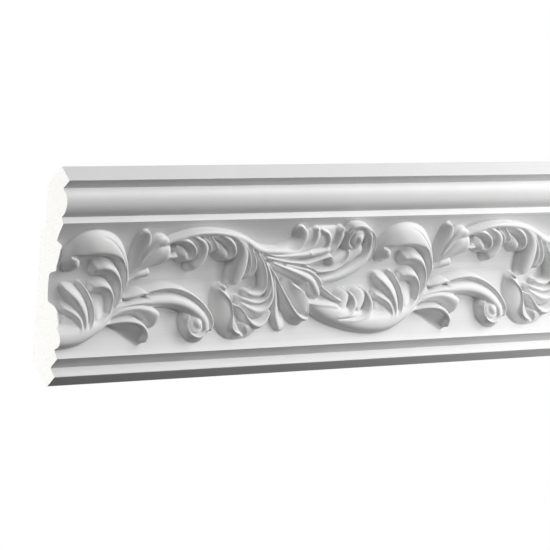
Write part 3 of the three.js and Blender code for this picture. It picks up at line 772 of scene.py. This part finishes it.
    def softened(self, heights: Array, spread: float) -> Array:
        """Field smoothed by a bell curve, as a product of its Fourier transform, which keeps it periodic.

        Args:
            heights: The field.
            spread: Standard deviation of the bell curve.

        Returns:
            The smoothed field.
        """
        over_columns = np.fft.rfftfreq(self.columns, self.repeat / self.columns)
        over_rows = np.fft.fftfreq(self.rows, self.ups[1] - self.ups[0])
        square = over_rows[:, None] ** 2 + over_columns[None] ** 2
        bell = np.exp(-2 * (math.pi * spread) ** 2 * square)
        return np.fft.irfft2(np.fft.rfft2(heights) * bell, heights.shape)

    def heights(self) -> Array:
        """Heights of the whole carving over the cove.

        The leaves are joined one by one. A groove takes off its depth times the square of one less the
        distance squared. The field is then softened and runs out to nothing at the cove's edges.

        Returns:
            The heights, one row for each place up the face.
        """
        relief = np.zeros((self.rows, self.columns))
        for leaf in self.leaves:
            columns, rows, along, up = self.window(self.midrib(leaf.path()))
            raised = self.raised(leaf, along, up)
            below = relief[rows][:, columns]
            relief[rows, columns] = np.where(raised > 0, self.joined(raised, below), below)
        for groove in self.grooves:
            line = self.midrib(groove.path())
            columns, rows, along, up = self.window(line)
            distance, _, depth = self.nearest(line, along, up)
            cut = depth * (1 - np.clip(distance, 0, 1) ** 2) ** 2
            relief[rows, columns] = np.maximum(relief[rows][:, columns] - cut, 0)
        edge = np.minimum(self.ups - self.foot, self.top - self.ups) / self.softness / self.edge_softnesses
        return self.softened(relief, self.softness) * np.clip(edge, 0, 1)[:, None]

    def hollows(self, heights: Array) -> Array:
        """How deep points lie below what is round them: the smoothed field less the field, from 0 to 1."""
        return np.clip((self.softened(heights, self.hollow_reach) - heights) / self.hollow_depth, 0, 1)


@dataclass
class Surface:
    """Vertices of the casting in millimetres of the part's frame, with its faces as they are collected."""

    points: list[Array] = field(default_factory=list)
    faces: list[list[int]] = field(default_factory=list)
    finishes: list[int] = field(default_factory=list)
    stretches: list[int] = field(default_factory=list)
    count: int = 0
    stretch: int = 0

    def add_points(self, points: Array) -> Array:
        """Adds points.

        Args:
            points: The points, one to a row.

        Returns:
            Their numbers.
        """
        numbers = np.arange(self.count, self.count + len(points))
        self.points.append(points)
        self.count += len(points)
        return numbers

    def add_faces(self, faces: Array, finish: Finish) -> None:
        """Adds faces as one smooth stretch, which meets the other stretches at sharp edges.

        Args:
            faces: Numbers of the corners of each face.
            finish: Finish of them all.
        """
        self.faces.extend(np.asarray(faces).tolist())
        self.finishes.extend([finish.value] * len(faces))
        self.stretches.extend([self.stretch] * len(faces))
        self.stretch += 1


@dataclass
class MouldedCornice:
    """The whole casting: one closed skin over the section, the carving, the back and the two sawn ends."""

    low: Vector
    high: Vector
    repeats: int = 2
    carved_triangles: int = 186_000
    quick_triangles: int = 60_000

    def __post_init__(self) -> None:
        """Takes the length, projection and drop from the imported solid."""
        self.length = (self.high.x - self.low.x) / MM
        self.section = Section(projection=-self.low.y / MM, drop=(self.high.z - self.low.z) / MM)
        foot, top = self.section.cove_span
        self.carving = Carving(self.length / self.repeats, self.section.face_width, foot, top)

    def placed(self, along: Array, section_points: Array) -> Array:
        """Points of the part: X from the place along, -Y out from the wall and Z up from the origin.

        Args:
            along: Places along the moulding from its left end.
            section_points: Points of the section at those places.

        Returns:
            Points in millimetres of the part's frame.
        """
        out, height = section_points[..., 0], section_points[..., 1] - self.section.origin_height
        return np.stack(np.broadcast_arrays(along - self.length / 2, -out, height), axis=-1)

    def carved_grid(self, heights: Array) -> tuple[Array, Array]:
        """The carved cove on a grid, from its top row down to its foot, over all the repeats.

        Args:
            heights: Heights over the cove of one repeat.

        Returns:
            The points, and the four corners of each face.
        """
        whole = np.hstack([np.tile(heights, self.repeats), heights[:, :1]])[::-1]
        along = np.linspace(0, self.length, whole.shape[1])
        over = self.section.cove_surface(self.carving.ups[::-1, None], whole)
        numbers = np.arange(whole.size).reshape(whole.shape)
        corners = numbers[:-1, :-1], numbers[1:, :-1], numbers[1:, 1:], numbers[:-1, 1:]
        return self.placed(along, over).reshape(-1, 3), np.stack(corners, axis=-1).reshape(-1, 4)

    def thinned(self, points: Array, faces: Array) -> tuple[Array, Array]:
        """The carved cove with larger triangles in its flatter places, where edges are closed up.

        Args:
            points: Points of the grid.
            faces: Four corners of each face.

        Returns:
            The points and triangles that are left.
        """
        mesh = bpy.data.meshes.new("carved_cove")
        mesh.from_pydata(points, [], faces)
        piece = bpy.data.objects.new("carved_cove", mesh)
        bpy.context.scene.collection.objects.link(piece)
        wanted = self.carved_triangles
        decimate = piece.modifiers.new("thin", "DECIMATE")
        decimate.ratio = min(1.0, wanted / (2 * len(faces)))
        decimate.use_collapse_triangulate = True
        result = piece.evaluated_get(bpy.context.evaluated_depsgraph_get()).to_mesh()
        left = np.empty(len(result.vertices) * 3, dtype=np.float32)
        corners = np.empty(len(result.polygons) * 3, dtype=np.int32)
        result.vertices.foreach_get("co", left)
        result.polygons.foreach_get("vertices", corners)
        bpy.data.objects.remove(piece)
        bpy.data.meshes.remove(mesh)
        return left.reshape(-1, 3).astype(float), corners.reshape(-1, 3)

    def rims(self, points: Array, triangles: Array) -> dict[str, Array]:
        """The four sides of the carved cove, straightened onto the lines that the plain members start from.

        A side's vertices are those of edges with one triangle, that lie by its line or plane, in order.

        Args:
            points: Points of the carved cove, moved onto the lines.
            triangles: Its triangles.

        Returns:
            Numbers of the vertices on each side: top and foot from left to right, ends from top to foot.
        """
        edges = np.sort(np.vstack([triangles[:, pair] for pair in ([0, 1], [1, 2], [2, 0])]), axis=1)
        unique, uses = np.unique(edges, axis=0, return_counts=True)
        rim = np.unique(unique[uses == 1])
        up = self.places_up(points)
        x, foot, top, near = points[:, 0], self.carving.foot, self.carving.top, self.carving.pitch / 2
        ends = {"left": -self.length / 2, "right": self.length / 2}
        sides = {"top": rim[up[rim] > top - near], "foot": rim[up[rim] < foot + near]}
        for name, place in (("top", self.section.cove_top), ("foot", self.section.cove_foot)):
            sides[name] = sides[name][np.argsort(x[sides[name]])]
            points[sides[name], 1:] = [-place[0], place[1] - self.section.origin_height]
        for name, place in ends.items():
            side = rim[np.abs(x[rim] - place) < near]
            sides[name] = side[np.argsort(-up[side])]
            points[side, 0] = place
        return sides

    def places_up(self, points: Array) -> Array:
        """Places up the face line of points of the part."""
        flat = np.stack([-points[:, 1], points[:, 2] + self.section.origin_height], axis=1)
        return (flat - self.section.bottom_back) @ self.section.face_up

    def add_pair(self, surface: Surface, place: Array) -> Array:
        """Adds the left and right vertices at a point of the section and returns their numbers."""
        return surface.add_points(self.placed(np.array([0.0, self.length]), np.stack([place, place])))

    def add_strips(self, surface: Surface, line: Array, finish: Finish, ends: Array) -> Array:
        """Adds flat or round strips that run the whole length, from a pair of end vertices along a line.

        Args:
            surface: The skin so far.
            line: Points of the section, the first one already in the skin.
            finish: Finish of the strips.
            ends: Left and right vertices at the line's first point.

        Returns:
            Left and right vertices at the line's other points.
        """
        both = self.placed(np.array([[0.0], [self.length]]), line[None, 1:])
        left, right = surface.add_points(both[0]), surface.add_points(both[1])
        pairs = np.vstack([ends, np.stack([left, right], axis=1)])
        corners = pairs[:-1, 0], pairs[1:, 0], pairs[1:, 1], pairs[:-1, 1]
        surface.add_faces(np.stack(corners, axis=1), finish)
        return pairs[1:]

    @staticmethod
    def fan(rim: Array, pair: Array, rim_is_below: bool) -> Array:
        """Triangles between a rim of many vertices and a pair: half the rim to each, and one between.

        Args:
            rim: Vertices of the rim, from left to right.
            pair: Left and right vertices of the other edge.
            rim_is_below: True where the rim is the lower edge of the strip.

        Returns:
            Three corners of each triangle, facing the room.
        """
        half = len(rim) // 2
        tips = np.where(np.arange(len(rim) - 1) < half, pair[0], pair[1])
        triangles = np.stack([tips, rim[:-1], rim[1:]], axis=1)
        triangles = np.vstack([triangles, [pair[0], rim[half], pair[1]]])
        return triangles if rim_is_below else triangles[:, ::-1]

    def build(self, heights: Array) -> Surface:
        """Works out the skin: carved cove, members above and below it, back and ends.

        Args:
            heights: Heights over the cove of one repeat.

        Returns:
            The skin, closed.
        """
        points, triangles = self.thinned(*self.carved_grid(heights))
        rims = self.rims(points, triangles)
        surface = Surface()
        surface.add_points(points)
        surface.add_faces(triangles, Finish.PRIMED_FACE)
        back = self.section.back()
        start = self.add_pair(surface, back[-1])
        over, under = [start[None]], []
        ceiling, *members = self.section.members_above()[:-1]
        over.append(self.add_strips(surface, ceiling, Finish.CAST_BACK, start))
        for line in members:
            over.append(self.add_strips(surface, line, Finish.PRIMED_FACE, over[-1][-1]))
        surface.add_faces(self.fan(rims["top"], over[-1][-1], True), Finish.PRIMED_FACE)
        soffit, *members = self.section.members_below()
        under.append(self.add_pair(surface, soffit[-1])[None])
        surface.add_faces(self.fan(rims["foot"], under[-1][-1], False), Finish.PRIMED_FACE)
        for line in members:
            under.append(self.add_strips(surface, line, Finish.PRIMED_FACE, under[-1][-1]))
        for line in zip(back[:-2], back[1:-1]):
            under.append(self.add_strips(surface, np.array(line), Finish.CAST_BACK, under[-1][-1]))
        last = under[-1][-1]
        surface.add_faces([[last[0], start[0], start[1], last[1]]], Finish.CAST_BACK)
        over, under = np.vstack(over), np.vstack(under)
        left = np.concatenate([over[:, 0], rims["left"], under[:, 0]])
        right = np.concatenate([over[:, 1], rims["right"], under[:, 1]])
        surface.add_faces([left[::-1]], Finish.SAWN_END)
        surface.add_faces([right], Finish.SAWN_END)
        return surface

    def hollow_at(self, points: Array, heights: Array) -> Array:
        """Hollowness at points of the skin, which the primed face darkens with painted shade: read from the
        field at the nearest place, and none off the cove.

        Args:
            points: Points in millimetres of the part's frame.
            heights: Heights over the cove of one repeat.

        Returns:
            A value from 0 to 1 for each point.
        """
        carving = self.carving
        up = self.places_up(points)
        share = (points[:, 0] + self.length / 2) % carving.repeat / carving.repeat
        column = np.rint(share * carving.columns).astype(int) % carving.columns
        row = np.clip(np.rint((up - carving.foot) / (carving.ups[1] - carving.foot)), 0, carving.rows - 1)
        on_cove = (up > carving.foot) & (up < carving.top)
        return np.where(on_cove, carving.hollows(heights)[row.astype(int), column], 0)

    def mesh(self) -> bpy.types.Mesh:
        """The casting's mesh, with sharp edges between its smooth stretches.

        Returns:
            The mesh, in metres.
        """
        heights = self.carving.heights()
        surface = self.build(heights)
        points = np.vstack(surface.points)
        mesh = bpy.data.meshes.new("moulded_cornice")
        mesh.from_pydata(points * MM, [], surface.faces)
        mesh.polygons.foreach_set("material_index", surface.finishes)
        mesh.polygons.foreach_set("use_smooth", [True] * len(mesh.polygons))
        self.mark_sharp(mesh, np.array(surface.stretches))
        # Hollowness of each vertex: the primed face uses it to paint shade into the hollows and to make them
        # rougher
        hollow = mesh.attributes.new("hollow", "FLOAT", "POINT")
        hollow.data.foreach_set("value", self.hollow_at(points, heights).astype(np.float32))
        mesh.update()
        return mesh

    @staticmethod
    def mark_sharp(mesh: bpy.types.Mesh, stretches: Array) -> None:
        """Marks the edges whose two faces are on different stretches.

        Args:
            mesh: The casting's mesh.
            stretches: Number of each face's stretch.
        """
        loop_edges = np.empty(len(mesh.loops), dtype=np.int32)
        loop_totals = np.empty(len(mesh.polygons), dtype=np.int32)
        mesh.loops.foreach_get("edge_index", loop_edges)
        mesh.polygons.foreach_get("loop_total", loop_totals)
        of_loop = np.repeat(stretches, loop_totals)
        lowest = np.full(len(mesh.edges), len(stretches))
        highest = np.full(len(mesh.edges), -1)
        np.minimum.at(lowest, loop_edges, of_loop)
        np.maximum.at(highest, loop_edges, of_loop)
        mesh.edges.foreach_set("use_edge_sharp", lowest != highest)

    def dress(self) -> bpy.types.Object:
        """Makes the piece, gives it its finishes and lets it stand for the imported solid.

        Returns:
            The piece.
        """
        mesh = self.mesh()
        for finish in (PrimedFace(), CastBack(), SawnEnd()):
            mesh.materials.append(finish.material())
        piece = bpy.data.objects.new("moulded_cornice", mesh)
        bpy.context.scene.collection.objects.link(piece)
        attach(piece, BODY)
        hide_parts(NODE)
        LOG.info("moulded_cornice: %d vertices, %d faces", len(mesh.vertices), len(mesh.polygons))
        return piece


@dataclass
class Bench:
    """Lays nodes in a tree, sets their sockets and joins them."""

    tree: bpy.types.NodeTree

    def node(self, kind: str, inputs: Inputs | None = None, **settings: object) -> bpy.types.Node:
        """Adds a node.

        Args:
            kind: The node's type.
            inputs: For each input, by name or place, a socket to join to it or a value to set.
            settings: The node's own properties.

        Returns:
            The node.
        """
        node = self.tree.nodes.new(kind)
        for name, value in settings.items():
            setattr(node, name, value)
        self.fill(node, inputs or {})
        return node

    def fill(self, node: bpy.types.Node, inputs: Inputs) -> None:
        """Fills the inputs of a node.

        Args:
            node: The node.
            inputs: For each input, by name or place, a socket to join to it or a value to set.
        """
        for name, value in inputs.items():
            if isinstance(value, bpy.types.NodeSocket):
                self.tree.links.new(value, node.inputs[name])
            else:
                node.inputs[name].default_value = value

    def sum_of(self, *terms: tuple[object, float]) -> bpy.types.NodeSocket:
        """Adds up sockets or values, each times its own weight.

        Args:
            terms: The sockets or values with their weights.

        Returns:
            Socket of the sum.
        """
        total: object = 0.0
        for value, weight in terms:
            step = self.node("ShaderNodeMath", {0: value, 1: weight, 2: total}, operation="MULTIPLY_ADD")
            total = step.outputs[0]
        return total

    def between(self, share: object, low: object, high: object) -> bpy.types.NodeSocket:
        """Value between two others, by a share from 0 to 1."""
        return self.node("ShaderNodeMapRange", {0: share, 3: low, 4: high}).outputs[0]

    def tint(self, share: object, plain: object, other: Colour) -> bpy.types.NodeSocket:
        """Colour between a plain one, given or from a socket, and another, by a share from 0 to 1."""
        first = plain if isinstance(plain, bpy.types.NodeSocket) else (*plain, 1)
        return self.node("ShaderNodeMix", {0: share, 6: first, 7: (*other, 1)}, data_type="RGBA").outputs[2]


class MouldedGrain:
    """Node group for the grain of a skin: a fine orange peel, scattered pinholes and a broad tone."""

    NAME = "moulded_grain"
    PEEL_DETAIL = 2.0
    TONE_DETAIL = 4.0
    PIT_WALL = (0.08, 0.3)

    @classmethod
    def group(cls) -> bpy.types.NodeTree:
        """The group, made at its first use.

        Returns:
            A tree with the inputs Vector, Peel Scale, Pin Scale, Pin Share and Tone Scale, and the outputs
            Peel, Pins and Tone, each from 0 to 1.
        """
        if cls.NAME in bpy.data.node_groups:
            return bpy.data.node_groups[cls.NAME]
        tree = bpy.data.node_groups.new(cls.NAME, "ShaderNodeTree")
        tree.interface.new_socket("Vector", in_out="INPUT", socket_type="NodeSocketVector")
        for name in ("Peel Scale", "Pin Scale", "Pin Share", "Tone Scale"):
            tree.interface.new_socket(name, in_out="INPUT", socket_type="NodeSocketFloat")
        for name in ("Peel", "Pins", "Tone"):
            tree.interface.new_socket(name, in_out="OUTPUT", socket_type="NodeSocketFloat")
        bench = Bench(tree)
        given = bench.node("NodeGroupInput").outputs
        where = given["Vector"]
        peel = {"Vector": where, "Scale": given["Peel Scale"], "Detail": cls.PEEL_DETAIL}
        peel = bench.node("ShaderNodeTexNoise", peel)
        tone = {"Vector": where, "Scale": given["Tone Scale"], "Detail": cls.TONE_DETAIL}
        tone = bench.node("ShaderNodeTexNoise", tone)
        cells = bench.node("ShaderNodeTexVoronoi", {"Vector": where, "Scale": given["Pin Scale"]}).outputs
        inner, outer = cls.PIT_WALL
        wall = {0: cells["Distance"], 1: inner, 2: outer, 3: 1.0, 4: 0.0}
        pit = bench.node("ShaderNodeMapRange", wall)
        pick = bench.node("ShaderNodeSeparateColor", {0: cells["Color"]})
        below = {0: pick.outputs[0], 1: given["Pin Share"]}
        chosen = bench.node("ShaderNodeMath", below, operation="LESS_THAN")
        pins = bench.node("ShaderNodeMath", {0: pit.outputs[0], 1: chosen.outputs[0]}, operation="MULTIPLY")
        results = {"Peel": peel.outputs[0], "Pins": pins.outputs[0], "Tone": tone.outputs[0]}
        bench.node("NodeGroupOutput", results)
        return tree


@dataclass(frozen=True)
class Skin:
    """A finish of the casting. Scales count marks in a metre, depth is the relief's in metres."""

    name: str
    colour: Colour
    other: Colour
    smoothest: float
    roughest: float
    peel_scale: float
    depth: float
    pin_scale: float
    pin_share: float
    pin_relief: float
    tone_scale: float
    specular: float

    def looks(self, bench: Bench, where: object, grain: object) -> tuple[object, object, object]:
        """Sockets of the colour, of the share of roughness and of the relief.

        Args:
            bench: The material's bench.
            where: Socket of the coordinates, in metres; not used here.
            grain: Outputs of the grain.

        Returns:
            The three sockets.
        """
        relief = bench.sum_of((grain["Peel"], 1.0), (grain["Pins"], self.pin_relief))
        return bench.tint(grain["Tone"], self.colour, self.other), grain["Tone"], relief

    def material(self) -> bpy.types.Material:
        """Makes the material.

        Returns:
            The material.
        """
        material = bpy.data.materials.new(self.name)
        material.use_nodes = True
        bench = Bench(material.node_tree)
        where = bench.node("ShaderNodeTexCoord").outputs["Object"]
        scales = {"Peel Scale": self.peel_scale, "Pin Scale": self.pin_scale, "Tone Scale": self.tone_scale}
        inputs = {"Vector": where, "Pin Share": self.pin_share, **scales}
        grain = bench.tree.nodes.new("ShaderNodeGroup")
        grain.node_tree = MouldedGrain.group()
        bench.fill(grain, inputs)
        colour, rough, relief = self.looks(bench, where, grain.outputs)
        bump = bench.node("ShaderNodeBump", {"Strength": 1.0, "Distance": self.depth, "Height": relief})
        shader = material.node_tree.nodes["Principled BSDF"]
        bench.tree.links.new(colour, shader.inputs["Base Color"])
        bench.tree.links.new(bench.between(rough, self.smoothest, self.roughest), shader.inputs["Roughness"])
        bench.tree.links.new(bump.outputs[0], shader.inputs["Normal"])
        shader.inputs["Specular IOR Level"].default_value = self.specular
        return material


@dataclass(frozen=True)
class PrimedFace(Skin):
    """White primer on the moulded front: matt, rougher in the hollows and darkened there with painted shade."""

    name: str = "primed_face"
    colour: Colour = (0.80, 0.80, 0.80)
    other: Colour = (0.74, 0.74, 0.735)
    # Grey that the hollows are darkened towards: painted shade
    painted_shade_colour: Colour = (0.60, 0.60, 0.61)
    hollow_share: float = 0.5
    smoothest: float = 0.5
    roughest: float = 0.66
    peel_scale: float = 850.0
    depth: float = 0.000035
    pin_scale: float = 260.0
    pin_share: float = 0.07
    pin_relief: float = -4.0
    tone_scale: float = 28.0
    specular: float = 0.35

    def looks(self, bench: Bench, where: object, grain: object) -> tuple[object, object, object]:
        """Adds to the plain looks the painted shade that darkens the hollows, and more roughness there.

        Args:
            bench: The material's bench.
            where: Socket of the coordinates, in metres.
            grain: Outputs of the grain.

        Returns:
            Sockets of the colour, of the share of roughness and of the relief.
        """
        hollow = bench.node("ShaderNodeAttribute", attribute_name="hollow").outputs["Fac"]
        plain, tone, relief = super().looks(bench, where, grain)
        rough = bench.sum_of((hollow, self.hollow_share), (tone, 1 - self.hollow_share))
        # Painted shade: the colour darkens towards a grey by how deep the point lies in a hollow
        return bench.tint(hollow, plain, self.painted_shade_colour), rough, relief


@dataclass(frozen=True)
class CastBack(Skin):
    """Bare skin of the casting's back: creamier than the primer, with a coarser grain and more bubbles."""

    name: str = "cast_back"
    colour: Colour = (0.78, 0.77, 0.72)
    other: Colour = (0.68, 0.66, 0.59)
    smoothest: float = 0.42
    roughest: float = 0.7
    peel_scale: float = 300.0
    depth: float = 0.00009
    pin_scale: float = 170.0
    pin_share: float = 0.16
    pin_relief: float = -3.0
    tone_scale: float = 14.0
    specular: float = 0.4


@dataclass(frozen=True)
class SawnEnd(Skin):
    """Foam at a sawn end: fine open cells of uneven size, crossed by faint saw marks."""

    name: str = "sawn_end"
    colour: Colour = (0.90, 0.895, 0.875)
    other: Colour = (0.74, 0.73, 0.69)
    smoothest: float = 0.75
    roughest: float = 0.95
    peel_scale: float = 1500.0
    depth: float = 0.00016
    pin_scale: float = 500.0
    pin_share: float = 0.3
    pin_relief: float = -1.2
    tone_scale: float = 60.0
    specular: float = 0.2
    cell_scale: float = 1500.0
    cell_shade: float = -0.9
    pin_shade: float = 0.7
    shade: float = 0.6
    saw_scale: float = 260.0
    saw_turn: float = math.radians(47)
    saw_distortion: float = 1.5
    saw_detail: float = 2.0
    saw_relief: float = 0.25

    def looks(self, bench: Bench, where: object, grain: object) -> tuple[object, object, object]:
        """Shades the open cells and lays the saw marks over them.

        Args:
            bench: The material's bench.
            where: Socket of the coordinates, in metres.
            grain: Outputs of the grain.

        Returns:
            Sockets of the colour, of the share of roughness and of the relief.
        """
        turn = {"Vector": where, "Rotation": (self.saw_turn, 0, 0)}
        turned = bench.node("ShaderNodeMapping", turn).outputs[0]
        marks = {"Scale": self.saw_scale, "Distortion": self.saw_distortion, "Detail": self.saw_detail}
        wave = bench.node("ShaderNodeTexWave", {"Vector": turned, **marks}, bands_direction="Z")
        saw = wave.outputs["Fac"]
        cells = bench.node("ShaderNodeTexVoronoi", {"Vector": where, "Scale": self.cell_scale})
        cells = cells.outputs["Distance"]
        shades = bench.sum_of((cells, self.cell_shade), (grain["Pins"], self.pin_shade), (1.0, self.shade))
        relief = bench.sum_of((cells, 1.0), (grain["Pins"], self.pin_relief), (saw, self.saw_relief))
        return bench.tint(shades, self.colour, self.other), grain["Tone"], relief


@dataclass(frozen=True)
class Lamp:
    """A soft square lamp: its place, the place that it lights and its side in metres, its power in watts."""

    name: str
    place: Spot
    aim: Spot
    side: float
    power: float
    casts_shadows: bool = True

    def hang(self) -> None:
        """Makes the lamp."""
        light = bpy.data.lights.new(self.name, "AREA")
        light.shape = "SQUARE"
        light.size = self.side
        light.energy = self.power
        light.use_shadow = self.casts_shadows
        lamp = bpy.data.objects.new(self.name, light)
        lamp.location = self.place
        lamp.rotation_euler = (Vector(self.aim) - Vector(self.place)).to_track_quat("-Z", "Y").to_euler()
        bpy.context.scene.collection.objects.link(lamp)


@dataclass
class Studio:
    """Pale floor, white surroundings, soft lamps and the camera, which looks up from the left."""

    lamps: tuple[Lamp, ...] = (
        Lamp("key", (1.6, -1.9, 0.2), aim=(0, -0.05, 0.04), side=1.7, power=36),
        Lamp("fill", (1.75, -1.75, 0.2), aim=(0, -0.05, 0.04), side=0.6, power=30, casts_shadows=False),
        Lamp("left_fill", (-1.9, -1.8, -0.1), aim=(0, -0.05, 0.04), side=1.6, power=14),
        Lamp("end_light", (-1.6, 0.75, 0.5), aim=(-0.33, -0.03, 0.04), side=0.8, power=30),
        Lamp("low_light", (0.62, -0.25, -0.42), aim=(0.2, -0.05, 0), side=0.2, power=1.9),
        Lamp("overhead", (0, 0.9, 2.2), aim=(0, 0, 0), side=1.5, power=30),
    )
    ambient: float = 0.04
    floor_height: float = -1.7
    floor_side: float = 30.0
    floor_colour: Colour = (0.82, 0.82, 0.81)
    floor_roughness: float = 0.8
    camera_aim: Spot = (-0.0516, -0.0137, 0.0737)
    camera_distance: float = 3.205
    camera_heading: float = math.radians(50.795)
    camera_rise: float = math.radians(25.875)
    camera_roll: float = math.radians(-30.272)
    lens: float = 261.8
    sensor: float = 36.0
    farthest: float = 100.0

    def floor(self) -> None:
        """Lays the floor, far under the moulding, which hangs at a ceiling. From below it is clear."""
        half = self.floor_side / 2
        corners = [(-half, -half), (half, -half), (half, half), (-half, half)]
        mesh = bpy.data.meshes.new("floor")
        mesh.from_pydata([(x, y, self.floor_height) for x, y in corners], [], [(0, 1, 2, 3)])
        material = bpy.data.materials.new("floor_paint")
        material.use_nodes = True
        bench = Bench(material.node_tree)
        shader = material.node_tree.nodes["Principled BSDF"]
        shader.inputs["Base Color"].default_value = (*self.floor_colour, 1)
        shader.inputs["Roughness"].default_value = self.floor_roughness
        under = bench.node("ShaderNodeNewGeometry").outputs["Backfacing"]
        clear = bench.node("ShaderNodeBsdfTransparent").outputs[0]
        mixed = bench.node("ShaderNodeMixShader", {0: under, 1: shader.outputs[0], 2: clear})
        bench.tree.links.new(mixed.outputs[0], material.node_tree.nodes["Material Output"].inputs[0])
        mesh.materials.append(material)
        floor = bpy.data.objects.new("floor", mesh)
        bpy.context.scene.collection.objects.link(floor)
        floor.visible_diffuse = False
        floor.visible_glossy = False

    def surroundings(self) -> None:
        """Makes the surroundings white to the eye and dim as a light."""
        world = bpy.data.worlds.new("studio")
        world.use_nodes = True
        bench = Bench(world.node_tree)
        seen = bench.node("ShaderNodeLightPath").outputs["Is Camera Ray"]
        strength = bench.between(seen, self.ambient, 1.0)
        background = world.node_tree.nodes["Background"]
        background.inputs["Color"].default_value = (1, 1, 1, 1)
        bench.tree.links.new(strength, background.inputs["Strength"])
        bpy.context.scene.world = world

    def camera(self) -> None:
        """Sets up the camera by its heading, its rise and its roll round the line of sight."""
        heading, rise, roll = self.camera_heading, self.camera_rise, self.camera_roll
        level = Vector((math.cos(heading), -math.sin(heading), 0))
        onward = Vector((math.sin(heading), math.cos(heading), 0))
        ahead = math.cos(rise) * onward + Vector((0, 0, math.sin(rise)))
        above = level.cross(ahead)
        right = math.cos(roll) * level + math.sin(roll) * above
        up = math.cos(roll) * above - math.sin(roll) * level
        data = bpy.data.cameras.new("camera")
        data.lens = self.lens
        data.sensor_width = self.sensor
        data.clip_end = self.farthest
        camera = bpy.data.objects.new("camera", data)
        turn = Matrix((right, up, -ahead)).transposed().to_4x4()
        place = Vector(self.camera_aim) - self.camera_distance * ahead
        camera.matrix_world = Matrix.Translation(place) @ turn
        bpy.context.scene.collection.objects.link(camera)
        bpy.context.scene.camera = camera

    def set_up(self) -> None:
        """Sets up the whole studio, with colours shown as they are."""
        self.floor()
        self.surroundings()
        for lamp in self.lamps:
            lamp.hang()
        self.camera()
        bpy.context.scene.view_settings.view_transform = "Standard"
        LOG.info("studio: %d lamps", len(self.lamps))


def main() -> None:
    """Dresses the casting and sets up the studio."""
    logging.basicConfig(level=logging.INFO, format="%(message)s")
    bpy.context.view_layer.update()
    MouldedCornice(*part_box(NODE)).dress()
    Studio().set_up()


if __name__ == "__main__":
    main()
